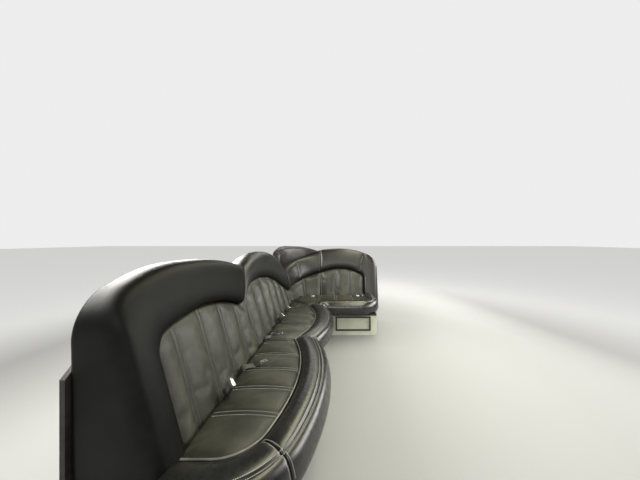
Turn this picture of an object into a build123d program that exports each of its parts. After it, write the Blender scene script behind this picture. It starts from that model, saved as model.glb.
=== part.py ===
from build123d import *
import os
from math import asin, cos, degrees, radians, sin, sqrt, tan

# L-shaped cushioned bench of a long passenger cabin, in millimetres.
# +Z is up, +Y runs along the side bench to the rear bench, +X points into the cabin.
# The origin is on the floor, under the middle of the bench's outline.

# Overall outline
LENGTH = 2625
WIDTH = 1250
BACK_DEPTH = 265
SEAT_DEPTH = 455
CORNER_RADIUS = 270

# Plywood base
PLY = 15
BASE_HEIGHT = 275
TOE_RECESS = 150
REAR_TOE_RECESS = 225
END_RECESS = 130
REAR_END_RECESS = 60
BOARD_INSET = 45

# Rolled front border of the seat
ROLL_WIDTH = 160
ROLL_HEIGHT = 136
ROLL_NOSE = 62
ROLL_NOSE_FACETS = 5
ROLL_UNDER = 42
ROLL_WELT = 16
LOBE_DEPTH = 82
NEAR_LOBE_APEX = 600
NEAR_LOBE_HALF = 450
NEAR_SEAM_ANGLE = -33
NEAR_CORNER_RADIUS = 310
INSIDE_CORNER_RADIUS = 45
OPEN_CORNER_RADIUS = 195
REAR_SEAT_SHORT = 45

# Channelled middle of the seat
INSERT_HEIGHT = 110
SEAM_GAP = 0.4
CHANNEL_PITCH = 160
CHANNEL_START = 352
STITCH_SPACING = 20
STITCH_DEPTH = 4

# Backrest: pairs are a place and a height above the floor. Places of the near lobe are from the
# near end, those of the far lobe from the turned corner and those of the rear from the open end.
LEAN = 15
BACK_PROUD = 25
BACK_ROUND = 30
BACK_END_INSET = 80
BACK_POST_WIDTH = 125
REAR_POST_WIDTH = 170
SHOULDER_HEIGHT = 845
NEAR_PEAK = (500, 986)
VALLEY = (1030, 905)
FAR_PEAK_RISE = 70
FAR_SHOULDER = (250, 922)
CORNER_TOP_HEIGHT = 738
CORNER_BAND_HEIGHT = 512
CORNER_TOP_MIDDLE = 835
CORNER_BAND_MIDDLE = 590
PANEL_CORNER_HEIGHT = 690
PANEL_NEAR_TOP = (290, 755)
PANEL_NEAR_PEAK = (520, 777)
PANEL_VALLEY = (890, 682)
PANEL_FAR_PEAK = (825, 789)
PANEL_FAR_FALL = (350, 676)
PANEL_FAR_LOW = (170, 585)
REAR_CREST_HEIGHT = 967
REAR_CREST_PLACE = 460
REAR_START_HEIGHT = 955
REAR_MITRE_PLACE = 150
REAR_MITRE_HEIGHT = 905
REAR_SHOULDER = (45, 845)
REAR_SIDE_HEIGHT = 745
REAR_PANEL_CREST_HEIGHT = 715
REAR_PANEL_START_HEIGHT = 672
REAR_PANEL_SHOULDER = (235, 662)
REAR_PANEL_TURN = (190, 630)
REAR_PANEL_SIDE_HEIGHT = 585
BACK_CHANNEL_START = 315
BACK_CHANNEL_PITCH = 165
REAR_CHANNEL_PITCH = 180
REAR_CHANNEL_START = 345

# Pad that fills the corner behind the backrest
PAD_LEG = 380
PAD_HEIGHT = 985
PAD_FALL = 80
PAD_ROUND = 45

# Wall boards
WALL_BOARD_HEIGHT = 845
WALL_BOARD_LOW = 690

# Access panel in the rear kick board
ACCESS_WIDTH = 360
ACCESS_HEIGHT = 125
ACCESS_SILL = 68
ACCESS_FROM_END = 85
ACCESS_FRAME_WIDTH = 18
ACCESS_FRAME_DEPTH = 9

# Floor brackets
BRACKET_WIDTH = 50
BRACKET_LEG = 60
BRACKET_PLATE = 4
BRACKET_HOLE_RADIUS = 5.5
BRACKET_HOLE_REACH = 32
BRACKET_END_MARGIN = 200

# Lap belts
BELT_CLEARANCE = 0.3
SIDE_BUCKLES = (450, 1380, 1610)
SIDE_TONGUES = (690, 1070, 1780)
REAR_BUCKLE = 330
REAR_TONGUE = 250
CORNER_BUCKLE_ANGLE = 108
CORNER_TONGUE_ANGLE = 132
WEBBING_WIDTH = 46
WEBBING_THICKNESS = 2
WEBBING_REACH = 60
WEBBING_DROP = 50
WEBBING_DROP_SETBACK = 1
BUCKLE_SIZE = (62, 40, 18)
BUCKLE_ROUND = 4
TONGUE_PLATE = (34, 26, 3)
TONGUE_GRIP = (30, 52, 12)
TONGUE_ROUND = 3

# Places that follow from the sizes
WALL_X = -WIDTH / 2
OPEN_X = WIDTH / 2
NEAR_Y = -LENGTH / 2
REAR_Y = LENGTH / 2
CREVICE_X = WALL_X + BACK_DEPTH
CREVICE_Y = REAR_Y - BACK_DEPTH
FRONT_X = CREVICE_X + SEAT_DEPTH
FRONT_Y = CREVICE_Y - SEAT_DEPTH
BOARD_TOP = BASE_HEIGHT + PLY
SEAT_TOP = BOARD_TOP + INSERT_HEIGHT
SEAT_END_X = OPEN_X - REAR_SEAT_SHORT
LOBE_SEAM_Y = NEAR_Y + NEAR_LOBE_APEX + NEAR_LOBE_HALF
CORNER_SEAM_Y = FRONT_Y - INSIDE_CORNER_RADIUS
FAR_LOBE_HALF = (CORNER_SEAM_Y - LOBE_SEAM_Y) / 2
KICK_X = FRONT_X - TOE_RECESS
KICK_Y = FRONT_Y + REAR_TOE_RECESS
QUARTER_TURN = 90


def lobe_radius(half_length):
    """Radius of a lobe that falls LOBE_DEPTH over half its length."""
    return (half_length**2 + LOBE_DEPTH**2) / (2 * LOBE_DEPTH)


def on_circle(centre, radius, angle):
    """Point of a circle in plan, with the angle in degrees from +X."""
    return (centre[0] + radius * cos(radians(angle)), centre[1] + radius * sin(radians(angle)))


def angle_at(centre, radius, y):
    """Angle in degrees at which the +X half of a circle crosses the line y."""
    return degrees(asin((y - centre[1]) / radius))


def up_slope(height):
    """Distance up the leaning face at a height above the floor."""
    return (height - BOARD_TOP) / cos(radians(LEAN))


# The two lobes of the side bench and the rounded corner at its near end
near_lobe_r = lobe_radius(NEAR_LOBE_HALF)
near_lobe_c = (FRONT_X - near_lobe_r, NEAR_Y + NEAR_LOBE_APEX)
far_lobe_r = lobe_radius(FAR_LOBE_HALF)
far_lobe_c = (FRONT_X - far_lobe_r, LOBE_SEAM_Y + FAR_LOBE_HALF)
near_corner_y = NEAR_Y + NEAR_CORNER_RADIUS
near_corner_turn = near_corner_y - near_lobe_c[1]
near_corner_x = near_lobe_c[0] + sqrt((near_lobe_r - NEAR_CORNER_RADIUS) ** 2 - near_corner_turn**2)
near_corner_c = (near_corner_x, near_corner_y)
near_tangent = degrees(asin(near_corner_turn / (near_lobe_r - NEAR_CORNER_RADIUS)))

# The rear bench's border turns into the side bench's at the inside corner
far_welt_r = far_lobe_r - ROLL_WIDTH
corner_welt_x = far_lobe_c[0] + sqrt(far_welt_r**2 - (CORNER_SEAM_Y - far_lobe_c[1]) ** 2)
inside_welt_r = INSIDE_CORNER_RADIUS + ROLL_WIDTH
inside_c = (corner_welt_x + inside_welt_r, CORNER_SEAM_Y)
open_welt_r = OPEN_CORNER_RADIUS - ROLL_WIDTH
open_c = (SEAT_END_X - OPEN_CORNER_RADIUS, FRONT_Y + OPEN_CORNER_RADIUS)
back_corner_c = (CREVICE_X + CORNER_RADIUS, CREVICE_Y - CORNER_RADIUS)

# Leaning faces of the two backrests, whose local Y runs up the slope
side_face = Plane(
    origin=(CREVICE_X, 0, BOARD_TOP),
    x_dir=(0, 1, 0),
    z_dir=(cos(radians(LEAN)), 0, sin(radians(LEAN))),
)
rear_face = Plane(
    origin=(0, CREVICE_Y, BOARD_TOP),
    x_dir=(1, 0, 0),
    z_dir=(0, -cos(radians(LEAN)), sin(radians(LEAN))),
)


os.makedirs("parts", exist_ok=True)


def finish(part, label):
    """Label a finished piece and write it to its own file."""
    part.label = label
    export_step(part, f"parts/{label}.step")


def roll_section(point, outward):
    """Section of the rolled border, standing on the board at a point of the welt line."""
    plane = Plane(
        origin=(point[0], point[1], BOARD_TOP),
        x_dir=(outward[0], outward[1], 0),
        z_dir=(outward[1], -outward[0], 0),
    )
    nose_centre = (ROLL_WIDTH - ROLL_NOSE, ROLL_HEIGHT - ROLL_NOSE)
    turns = [step * QUARTER_TURN / ROLL_NOSE_FACETS for step in range(ROLL_NOSE_FACETS + 1)]
    nose = [on_circle(nose_centre, ROLL_NOSE, turn) for turn in turns]
    under = [(ROLL_WIDTH - ROLL_UNDER, 0), (ROLL_WIDTH, ROLL_UNDER)]
    welt = [(ROLL_WELT, ROLL_HEIGHT), (0, ROLL_HEIGHT - ROLL_WELT), (0, 0)]
    with BuildSketch(plane) as section:
        with BuildLine():
            Polyline(*under, *nose, *welt, close=True)
        make_face()
    return section.sketch


def roll_round(centre, welt_radius, side, start, turn):
    """Turn the border round an upright axis; side is 1 with the cabin outside the turn, else -1."""
    direction = (cos(radians(start)), sin(radians(start)))
    point = on_circle(centre, welt_radius, start)
    section = roll_section(point, (side * direction[0], side * direction[1]))
    revolve(section, axis=Axis((centre[0], centre[1], 0), (0, 0, 1)), revolution_arc=turn)


def roll_straight(point, outward, length):
    """Run the border straight from a point of the welt line; a negative length runs back."""
    section = roll_section(point, outward)
    extrude(section, amount=length)


def stitch_pair():
    """Two narrow grooves beside the middle of a seam."""
    with Locations((-STITCH_SPACING / 2, 0), (STITCH_SPACING / 2, 0)):
        RegularPolygon(STITCH_DEPTH, side_count=4)


def arc_by_height(start, middle, end):
    """Arc on a leaning face through points given as place and height above the floor."""
    points = [(place, up_slope(height)) for place, height in (start, middle, end)]
    return ThreePointArc(*points)


def from_near(point):
    """Place from the near end as a coordinate along the side bench."""
    return (NEAR_Y + point[0], point[1])


def from_corner(point):
    """Place from the turned corner as a coordinate along the side bench."""
    return (back_corner_c[1] - point[0], point[1])


def from_open(point):
    """Place from the open end as a coordinate along the rear bench."""
    return (OPEN_X - point[0], point[1])


def middle_point(first, last, rise):
    """Point halfway between two, lifted by rise."""
    return ((first[0] + last[0]) / 2, (first[1] + last[1]) / 2 + rise)


# Base: kick boards stand back under the border, end boards and ribs tie them to the wall boards
with BuildPart() as side_kick_board:
    with BuildSketch(Plane.XY):
        with Locations((KICK_X - PLY, NEAR_Y + END_RECESS)):
            Rectangle(PLY, KICK_Y + PLY - NEAR_Y - END_RECESS, align=(Align.MIN, Align.MIN))
    extrude(amount=BASE_HEIGHT)
finish(side_kick_board.part, "side_kick_board")

access_x = OPEN_X - REAR_END_RECESS - ACCESS_FROM_END - ACCESS_WIDTH
with BuildPart() as rear_kick_board:
    with BuildSketch(Plane.XY):
        with Locations((KICK_X, KICK_Y)):
            Rectangle(OPEN_X - REAR_END_RECESS - KICK_X, PLY, align=(Align.MIN, Align.MIN))
    extrude(amount=BASE_HEIGHT)
    with BuildSketch(Plane.XZ.offset(-KICK_Y)):
        with Locations((access_x, ACCESS_SILL)):
            Rectangle(ACCESS_WIDTH, ACCESS_HEIGHT, align=(Align.MIN, Align.MIN))
    extrude(amount=-PLY, mode=Mode.SUBTRACT)
finish(rear_kick_board.part, "rear_kick_board")

with BuildPart() as rear_access_panel:
    with BuildSketch(Plane.XZ.offset(-KICK_Y - PLY / 2)):
        with Locations((access_x, ACCESS_SILL)):
            Rectangle(ACCESS_WIDTH, ACCESS_HEIGHT, align=(Align.MIN, Align.MIN))
    extrude(amount=-PLY / 2)
finish(rear_access_panel.part, "rear_access_panel")

with BuildPart() as rear_access_frame:
    with BuildSketch(Plane.XZ.offset(-KICK_Y)):
        with Locations((access_x - ACCESS_FRAME_WIDTH, ACCESS_SILL - ACCESS_FRAME_WIDTH)):
            Rectangle(
                ACCESS_WIDTH + 2 * ACCESS_FRAME_WIDTH,
                ACCESS_HEIGHT + 2 * ACCESS_FRAME_WIDTH,
                align=(Align.MIN, Align.MIN),
            )
        with Locations((access_x, ACCESS_SILL)):
            Rectangle(ACCESS_WIDTH, ACCESS_HEIGHT, align=(Align.MIN, Align.MIN), mode=Mode.SUBTRACT)
    extrude(amount=ACCESS_FRAME_DEPTH)
finish(rear_access_frame.part, "rear_access_frame")

rib_x = WALL_X + PLY
rib_length = KICK_X - PLY - rib_x
with BuildPart() as near_end_board:
    with BuildSketch(Plane.XY):
        with Locations((rib_x, NEAR_Y + END_RECESS)):
            Rectangle(rib_length, PLY, align=(Align.MIN, Align.MIN))
    extrude(amount=BASE_HEIGHT)
finish(near_end_board.part, "near_end_board")

for number, rib_y in enumerate((near_lobe_c[1], LOBE_SEAM_Y, far_lobe_c[1]), start=1):
    with BuildPart() as side_base_rib:
        with BuildSketch(Plane.XY):
            with Locations((rib_x, rib_y)):
                Rectangle(rib_length, PLY, align=(Align.MIN, Align.CENTER))
        extrude(amount=BASE_HEIGHT)
    finish(side_base_rib.part, f"side_base_rib_{number}")

rear_rib_y = KICK_Y + PLY
rear_rib_length = REAR_Y - PLY - rear_rib_y
with BuildPart() as rear_end_board:
    with BuildSketch(Plane.XY):
        with Locations((OPEN_X - REAR_END_RECESS - PLY, rear_rib_y)):
            Rectangle(PLY, rear_rib_length, align=(Align.MIN, Align.MIN))
    extrude(amount=BASE_HEIGHT)
finish(rear_end_board.part, "rear_end_board")

with BuildPart() as rear_base_rib:
    with BuildSketch(Plane.XY):
        with Locations((KICK_X + PLY, rear_rib_y)):
            Rectangle(PLY, rear_rib_length, align=(Align.MIN, Align.MIN))
    extrude(amount=BASE_HEIGHT)
finish(rear_base_rib.part, "rear_base_rib")

# Wall boards carry the backrests and drop behind the low corner
wall_fall_y = back_corner_c[1] - FAR_SHOULDER[0] - CORNER_RADIUS / 2
with BuildPart() as side_wall_board:
    with BuildSketch(Plane.YZ.offset(WALL_X)):
        with BuildLine():
            Polyline(
                (NEAR_Y + BACK_END_INSET, 0),
                (REAR_Y, 0),
                (REAR_Y, WALL_BOARD_LOW),
                (back_corner_c[1] - PLY, WALL_BOARD_LOW),
                (wall_fall_y, WALL_BOARD_HEIGHT),
                (NEAR_Y + NEAR_PEAK[0] / 2, WALL_BOARD_HEIGHT),
                (NEAR_Y + BACK_END_INSET, WALL_BOARD_LOW),
                close=True,
            )
        make_face()
    extrude(amount=PLY)
finish(side_wall_board.part, "side_wall_board")

with BuildPart() as rear_wall_board:
    with BuildSketch(Plane.XZ.offset(-REAR_Y)):
        with BuildLine():
            Polyline(
                (WALL_X + PLY, 0),
                (OPEN_X - REAR_END_RECESS, 0),
                (OPEN_X - REAR_END_RECESS, WALL_BOARD_LOW),
                (OPEN_X - REAR_POST_WIDTH, WALL_BOARD_HEIGHT),
                (back_corner_c[0], WALL_BOARD_HEIGHT),
                (WALL_X + PLY, WALL_BOARD_LOW),
                close=True,
            )
        make_face()
    extrude(amount=PLY)
finish(rear_wall_board.part, "rear_wall_board")

# Seat boards lie on the base, inside the border's outline
with BuildPart() as side_seat_board:
    with BuildSketch(Plane.XY.offset(BASE_HEIGHT)):
        with BuildLine():
            start = (WALL_X + PLY, NEAR_Y + BOARD_INSET)
            corner_end = on_circle(near_corner_c, NEAR_CORNER_RADIUS - BOARD_INSET, near_tangent)
            seam_angle = angle_at(near_lobe_c, near_lobe_r - BOARD_INSET, LOBE_SEAM_Y)
            seam = on_circle(near_lobe_c, near_lobe_r - BOARD_INSET, seam_angle)
            far_start = angle_at(far_lobe_c, far_lobe_r - BOARD_INSET, LOBE_SEAM_Y)
            far_end = angle_at(far_lobe_c, far_lobe_r - BOARD_INSET, CORNER_SEAM_Y)
            far_first = on_circle(far_lobe_c, far_lobe_r - BOARD_INSET, far_start)
            far_last = on_circle(far_lobe_c, far_lobe_r - BOARD_INSET, far_end)
            Line(start, (near_corner_c[0], start[1]))
            board_corner_r = NEAR_CORNER_RADIUS - BOARD_INSET
            CenterArc(near_corner_c, board_corner_r, -QUARTER_TURN, QUARTER_TURN + near_tangent)
            CenterArc(near_lobe_c, near_lobe_r - BOARD_INSET, near_tangent, seam_angle - near_tangent)
            Line(seam, far_first)
            CenterArc(far_lobe_c, far_lobe_r - BOARD_INSET, far_start, far_end - far_start)
            Polyline(far_last, (WALL_X + PLY, CORNER_SEAM_Y), start)
        make_face()
    extrude(amount=PLY)
finish(side_seat_board.part, "side_seat_board")

with BuildPart() as rear_seat_board:
    with BuildSketch(Plane.XY.offset(BASE_HEIGHT)):
        with BuildLine():
            Polyline(
                (WALL_X + PLY, CORNER_SEAM_Y),
                (far_last[0], CORNER_SEAM_Y),
                (far_last[0], FRONT_Y + BOARD_INSET),
                (SEAT_END_X - BOARD_INSET, FRONT_Y + BOARD_INSET),
                (SEAT_END_X - BOARD_INSET, REAR_Y - PLY),
                (WALL_X + PLY, REAR_Y - PLY),
                close=True,
            )
        make_face()
    extrude(amount=PLY)
finish(rear_seat_board.part, "rear_seat_board")

# Seat border: near corner, two lobes with mitred seams, and the rear run
with BuildPart() as seat_bolster_near_end:
    near_welt_r = NEAR_CORNER_RADIUS - ROLL_WIDTH
    roll_round(near_corner_c, near_welt_r, 1, -QUARTER_TURN, QUARTER_TURN + NEAR_SEAM_ANGLE)
    roll_straight((near_corner_c[0], NEAR_Y + ROLL_WIDTH), (0, -1), near_corner_c[0] - CREVICE_X)
finish(seat_bolster_near_end.part, "seat_bolster_near_end")

with BuildPart() as seat_bolster_near_lobe:
    lobe_end = angle_at(near_lobe_c, near_lobe_r - ROLL_WIDTH, LOBE_SEAM_Y)
    roll_round(near_corner_c, near_welt_r, 1, NEAR_SEAM_ANGLE, near_tangent - NEAR_SEAM_ANGLE)
    roll_round(near_lobe_c, near_lobe_r - ROLL_WIDTH, 1, near_tangent, lobe_end - near_tangent)
    split(bisect_by=Plane.XZ.offset(-LOBE_SEAM_Y), keep=Keep.TOP)
finish(seat_bolster_near_lobe.part, "seat_bolster_near_lobe")

with BuildPart() as seat_bolster_far_lobe:
    lobe_start = angle_at(far_lobe_c, far_welt_r, LOBE_SEAM_Y)
    lobe_end = angle_at(far_lobe_c, far_welt_r, CORNER_SEAM_Y)
    roll_round(far_lobe_c, far_welt_r, 1, lobe_start, lobe_end - lobe_start)
    split(bisect_by=Plane.XZ.offset(-LOBE_SEAM_Y), keep=Keep.BOTTOM)
    split(bisect_by=Plane.XZ.offset(-CORNER_SEAM_Y), keep=Keep.TOP)
finish(seat_bolster_far_lobe.part, "seat_bolster_far_lobe")

with BuildPart() as rear_seat_bolster:
    roll_round(inside_c, inside_welt_r, -1, QUARTER_TURN, QUARTER_TURN)
    roll_straight((inside_c[0], FRONT_Y + ROLL_WIDTH), (0, -1), inside_c[0] - open_c[0])
    roll_round(open_c, open_welt_r, 1, -QUARTER_TURN, QUARTER_TURN)
    roll_straight((SEAT_END_X - ROLL_WIDTH, open_c[1]), (1, 0), open_c[1] - CREVICE_Y)
finish(rear_seat_bolster.part, "rear_seat_bolster")

# Channelled seat panels, mitred across the corner
welt_side = (CREVICE_X, NEAR_Y + ROLL_WIDTH + SEAM_GAP)
with BuildPart() as side_seat_insert:
    with BuildSketch(Plane.XY.offset(BOARD_TOP)):
        with BuildLine():
            near_r = near_lobe_r - ROLL_WIDTH - SEAM_GAP
            far_r = far_welt_r - SEAM_GAP
            corner_r = NEAR_CORNER_RADIUS - ROLL_WIDTH - SEAM_GAP
            near_end = angle_at(near_lobe_c, near_r, LOBE_SEAM_Y)
            far_start = angle_at(far_lobe_c, far_r, LOBE_SEAM_Y)
            far_end = angle_at(far_lobe_c, far_r, CORNER_SEAM_Y)
            cusp = on_circle(far_lobe_c, far_r, far_end)
            Line(welt_side, (near_corner_c[0], welt_side[1]))
            CenterArc(near_corner_c, corner_r, -QUARTER_TURN, QUARTER_TURN + near_tangent)
            CenterArc(near_lobe_c, near_r, near_tangent, near_end - near_tangent)
            Line(on_circle(near_lobe_c, near_r, near_end), on_circle(far_lobe_c, far_r, far_start))
            CenterArc(far_lobe_c, far_r, far_start, far_end - far_start)
            Polyline(cusp, (CREVICE_X, back_corner_c[1]), welt_side)
        make_face()
    extrude(amount=INSERT_HEIGHT)
    channel_count = int((CORNER_SEAM_Y - NEAR_Y - CHANNEL_START) / CHANNEL_PITCH) + 1
    with BuildSketch(Plane.YZ.offset(CREVICE_X)):
        for channel in range(channel_count):
            pair_y = NEAR_Y + CHANNEL_START + channel * CHANNEL_PITCH
            with Locations((pair_y, SEAT_TOP)):
                stitch_pair()
    extrude(amount=SEAT_DEPTH, mode=Mode.SUBTRACT)
finish(side_seat_insert.part, "side_seat_insert")

with BuildPart() as rear_seat_insert:
    with BuildSketch(Plane.XY.offset(BOARD_TOP)):
        with BuildLine():
            rear_welt_r = inside_welt_r + SEAM_GAP
            open_panel_r = open_welt_r - SEAM_GAP
            corner_start = (CREVICE_X, back_corner_c[1])
            Line((inside_c[0] - rear_welt_r, CORNER_SEAM_Y), corner_start)
            CenterArc(back_corner_c, CORNER_RADIUS, QUARTER_TURN, QUARTER_TURN)
            Polyline(
                (back_corner_c[0], CREVICE_Y),
                (SEAT_END_X - ROLL_WIDTH - SEAM_GAP, CREVICE_Y),
                (SEAT_END_X - ROLL_WIDTH - SEAM_GAP, open_c[1]),
            )
            CenterArc(open_c, open_panel_r, -QUARTER_TURN, QUARTER_TURN)
            Line((open_c[0], open_c[1] - open_panel_r), (inside_c[0], CORNER_SEAM_Y + rear_welt_r))
            CenterArc(inside_c, rear_welt_r, QUARTER_TURN, QUARTER_TURN)
        make_face()
    extrude(amount=INSERT_HEIGHT)
    channel_count = int((SEAT_END_X - CREVICE_X - REAR_CHANNEL_START) / REAR_CHANNEL_PITCH) + 1
    with BuildSketch(Plane.XZ.offset(-CREVICE_Y)):
        for channel in range(channel_count):
            pair_x = OPEN_X - REAR_CHANNEL_START - channel * REAR_CHANNEL_PITCH
            with Locations((pair_x, SEAT_TOP)):
                stitch_pair()
    extrude(amount=SEAT_DEPTH, mode=Mode.SUBTRACT)
finish(rear_seat_insert.part, "rear_seat_insert")


def keep_side_space():
    """Trim a side backrest piece to the space between wall board, seat board and crevice."""
    with Locations((WALL_X + PLY, NEAR_Y, BOARD_TOP)):
        Box(
            BACK_DEPTH - PLY - SEAM_GAP,
            LENGTH,
            WIDTH,
            align=(Align.MIN, Align.MIN, Align.MIN),
            mode=Mode.INTERSECT,
        )


def keep_rear_space():
    """Trim a rear backrest piece to the space between wall board, seat board and crevice."""
    with Locations((WALL_X, REAR_Y - PLY, BOARD_TOP)):
        Box(
            WIDTH,
            BACK_DEPTH - PLY - SEAM_GAP,
            LENGTH,
            align=(Align.MIN, Align.MAX, Align.MIN),
            mode=Mode.INTERSECT,
        )


def round_front(part, face, lines):
    """Round the edges of the proud front face that lie along given lines of its sketch."""
    plane = face.offset(BACK_PROUD)
    chosen = []
    for edge in part.edges():
        middle = plane.to_local_coords(edge.position_at(0.5))
        if any(line.distance_to(middle) < SEAM_GAP for line in lines):
            chosen.append(edge)
    fillet(chosen, BACK_ROUND)


# Side backrest: outlines on the leaning face, pushed back to the wall board
below = up_slope(BOARD_TOP) - BACK_DEPTH
back_near_y = NEAR_Y + BACK_END_INSET
post_y = back_near_y + BACK_POST_WIDTH
back_far_y = back_corner_c[1]
near_peak = from_near(NEAR_PEAK)
valley = from_near(VALLEY)
far_shoulder = from_corner(FAR_SHOULDER)
far_peak = middle_point(valley, far_shoulder, FAR_PEAK_RISE)
panel_valley = from_near(PANEL_VALLEY)
panel_near_top = from_near(PANEL_NEAR_TOP)
panel_fall = from_corner(PANEL_FAR_FALL)


def panel_line(gap):
    """Top edge of the side backrest's channelled panel, lowered by a gap."""
    def lower(point):
        return (point[0], point[1] - gap)
    turn = middle_point((post_y, PANEL_CORNER_HEIGHT), panel_near_top, BACK_PROUD / 2)
    return {
        "turn": (lower((post_y + gap, PANEL_CORNER_HEIGHT)), lower(turn), lower(panel_near_top)),
        "near": (lower(panel_near_top), lower(from_near(PANEL_NEAR_PEAK)), lower(panel_valley)),
        "far": (lower(panel_valley), lower(from_corner(PANEL_FAR_PEAK)), lower(panel_fall)),
        "fall": (
            lower(panel_fall),
            lower(from_corner(PANEL_FAR_LOW)),
            lower((back_far_y, CORNER_BAND_HEIGHT)),
        ),
    }


with BuildPart() as side_back_bolster_near:
    edge = panel_line(0)
    with BuildSketch(side_face.offset(BACK_PROUD)):
        with BuildLine():
            shoulder = (back_near_y, SHOULDER_HEIGHT)
            mid_shoulder = middle_point(shoulder, near_peak, ROLL_WIDTH / 3)
            Polyline((post_y, up_slope(PANEL_CORNER_HEIGHT)), (post_y, below), (back_near_y, below))
            near_side = Line((back_near_y, below), (back_near_y, up_slope(SHOULDER_HEIGHT)))
            near_rise = arc_by_height(shoulder, mid_shoulder, near_peak)
            near_fall = arc_by_height(near_peak, middle_point(near_peak, valley, BACK_PROUD), valley)
            Line((valley[0], up_slope(valley[1])), (panel_valley[0], up_slope(panel_valley[1])))
            arc_by_height(*edge["near"])
            arc_by_height(*edge["turn"])
        make_face()
    extrude(amount=-BACK_DEPTH)
    keep_side_space()
    round_front(side_back_bolster_near, side_face, (near_side, near_rise, near_fall))
finish(side_back_bolster_near.part, "side_back_bolster_near")

with BuildPart() as side_back_bolster_far:
    with BuildSketch(side_face.offset(BACK_PROUD)):
        with BuildLine():
            far_crown = arc_by_height(valley, far_peak, far_shoulder)
            far_end = (back_far_y, up_slope(CORNER_TOP_HEIGHT))
            far_fall = Line((far_shoulder[0], up_slope(far_shoulder[1])), far_end)
            Line(far_end, (back_far_y, up_slope(CORNER_BAND_HEIGHT)))
            arc_by_height(*edge["fall"])
            arc_by_height(*edge["far"])
            Line((panel_valley[0], up_slope(panel_valley[1])), (valley[0], up_slope(valley[1])))
        make_face()
    extrude(amount=-BACK_DEPTH)
    keep_side_space()
    round_front(side_back_bolster_far, side_face, (far_crown, far_fall))
finish(side_back_bolster_far.part, "side_back_bolster_far")

with BuildPart() as side_back_insert:
    edge = panel_line(SEAM_GAP)
    with BuildSketch(side_face):
        with BuildLine():
            arc_by_height(*edge["turn"])
            arc_by_height(*edge["near"])
            arc_by_height(*edge["far"])
            arc_by_height(*edge["fall"])
            Polyline(
                (back_far_y, up_slope(CORNER_BAND_HEIGHT - SEAM_GAP)),
                (back_far_y, below),
                (post_y + SEAM_GAP, below),
                (post_y + SEAM_GAP, up_slope(PANEL_CORNER_HEIGHT - SEAM_GAP)),
            )
        make_face()
    extrude(amount=-BACK_DEPTH)
    keep_side_space()
    channel_count = int((back_far_y - NEAR_Y - BACK_CHANNEL_START) / BACK_CHANNEL_PITCH) + 1
    side_foot = Plane(origin=side_face.origin, x_dir=side_face.x_dir, z_dir=side_face.y_dir)
    with BuildSketch(side_foot):
        for channel in range(channel_count):
            with Locations((NEAR_Y + BACK_CHANNEL_START + channel * BACK_CHANNEL_PITCH, 0)):
                stitch_pair()
    extrude(amount=PAD_HEIGHT, mode=Mode.SUBTRACT)
finish(side_back_insert.part, "side_back_insert")

# Corner backrest: the same leaning section turned round an upright axis, cut along the diagonal
pad_corner = (WALL_X + PLY, REAR_Y - PLY)
corner_to_centre = sqrt(2) * (CORNER_RADIUS + BACK_DEPTH - PLY)
corner_outer_r = corner_to_centre - PAD_LEG / sqrt(2) - SEAM_GAP
diagonal = Plane(
    origin=(back_corner_c[0], back_corner_c[1], 0),
    x_dir=(1, 1, 0),
    z_dir=(1, -1, 0),
)


def corner_turn(proud):
    """Leaning section between the seat panel and the corner pad, turned through the corner."""
    foot = CORNER_RADIUS + SEAM_GAP
    shift = proud / cos(radians(LEAN))
    knee = (SEAM_GAP + shift) / tan(radians(LEAN))
    top = (corner_outer_r - CORNER_RADIUS + shift) / tan(radians(LEAN))
    section_plane = Plane(origin=(*back_corner_c, BOARD_TOP), x_dir=(0, 1, 0), z_dir=(1, 0, 0))
    with BuildSketch(section_plane) as section:
        with BuildLine():
            Polyline((foot, 0), (foot, knee), (corner_outer_r, top), (corner_outer_r, 0), close=True)
        make_face()
    axis = Axis((*back_corner_c, 0), (0, 0, 1))
    revolve(section.sketch, axis=axis, revolution_arc=QUARTER_TURN)


def face_radius(height):
    """Radius of the corner's leaning face at a height above the floor."""
    return CORNER_RADIUS + (height - BOARD_TOP) * tan(radians(LEAN))


def below_edge(start_height, middle_height, end_height):
    """Keep what lies under an edge that crosses the corner, seen along the diagonal."""
    start = (-face_radius(start_height) / sqrt(2), start_height)
    end = (face_radius(end_height) / sqrt(2), end_height)
    with BuildSketch(diagonal) as region:
        with BuildLine():
            low_left = (start[0] - BACK_DEPTH, 0)
            low_right = (end[0] + BACK_DEPTH, 0)
            high_left = (low_left[0], start_height - BACK_DEPTH * tan(radians(LEAN)))
            high_right = (low_right[0], end_height + BACK_DEPTH * tan(radians(LEAN)))
            Polyline(start, high_left, low_left, low_right, high_right, end)
            ThreePointArc(start, (0, middle_height), end)
        make_face()
    return extrude(region.sketch, amount=-WIDTH, mode=Mode.PRIVATE)


with BuildPart() as corner_back_bolster:
    corner_turn(BACK_PROUD)
    add(below_edge(CORNER_TOP_HEIGHT, CORNER_TOP_MIDDLE, REAR_START_HEIGHT), mode=Mode.INTERSECT)
    band_edge = below_edge(CORNER_BAND_HEIGHT, CORNER_BAND_MIDDLE, REAR_PANEL_START_HEIGHT)
    add(band_edge, mode=Mode.SUBTRACT)
finish(corner_back_bolster.part, "corner_back_bolster")

# Rear backrest
crest_x = OPEN_X - REAR_CREST_PLACE
mitre = from_open((REAR_MITRE_PLACE, REAR_MITRE_HEIGHT))
rear_post_x = OPEN_X - REAR_POST_WIDTH
rear_corner_x = back_corner_c[0]


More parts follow.
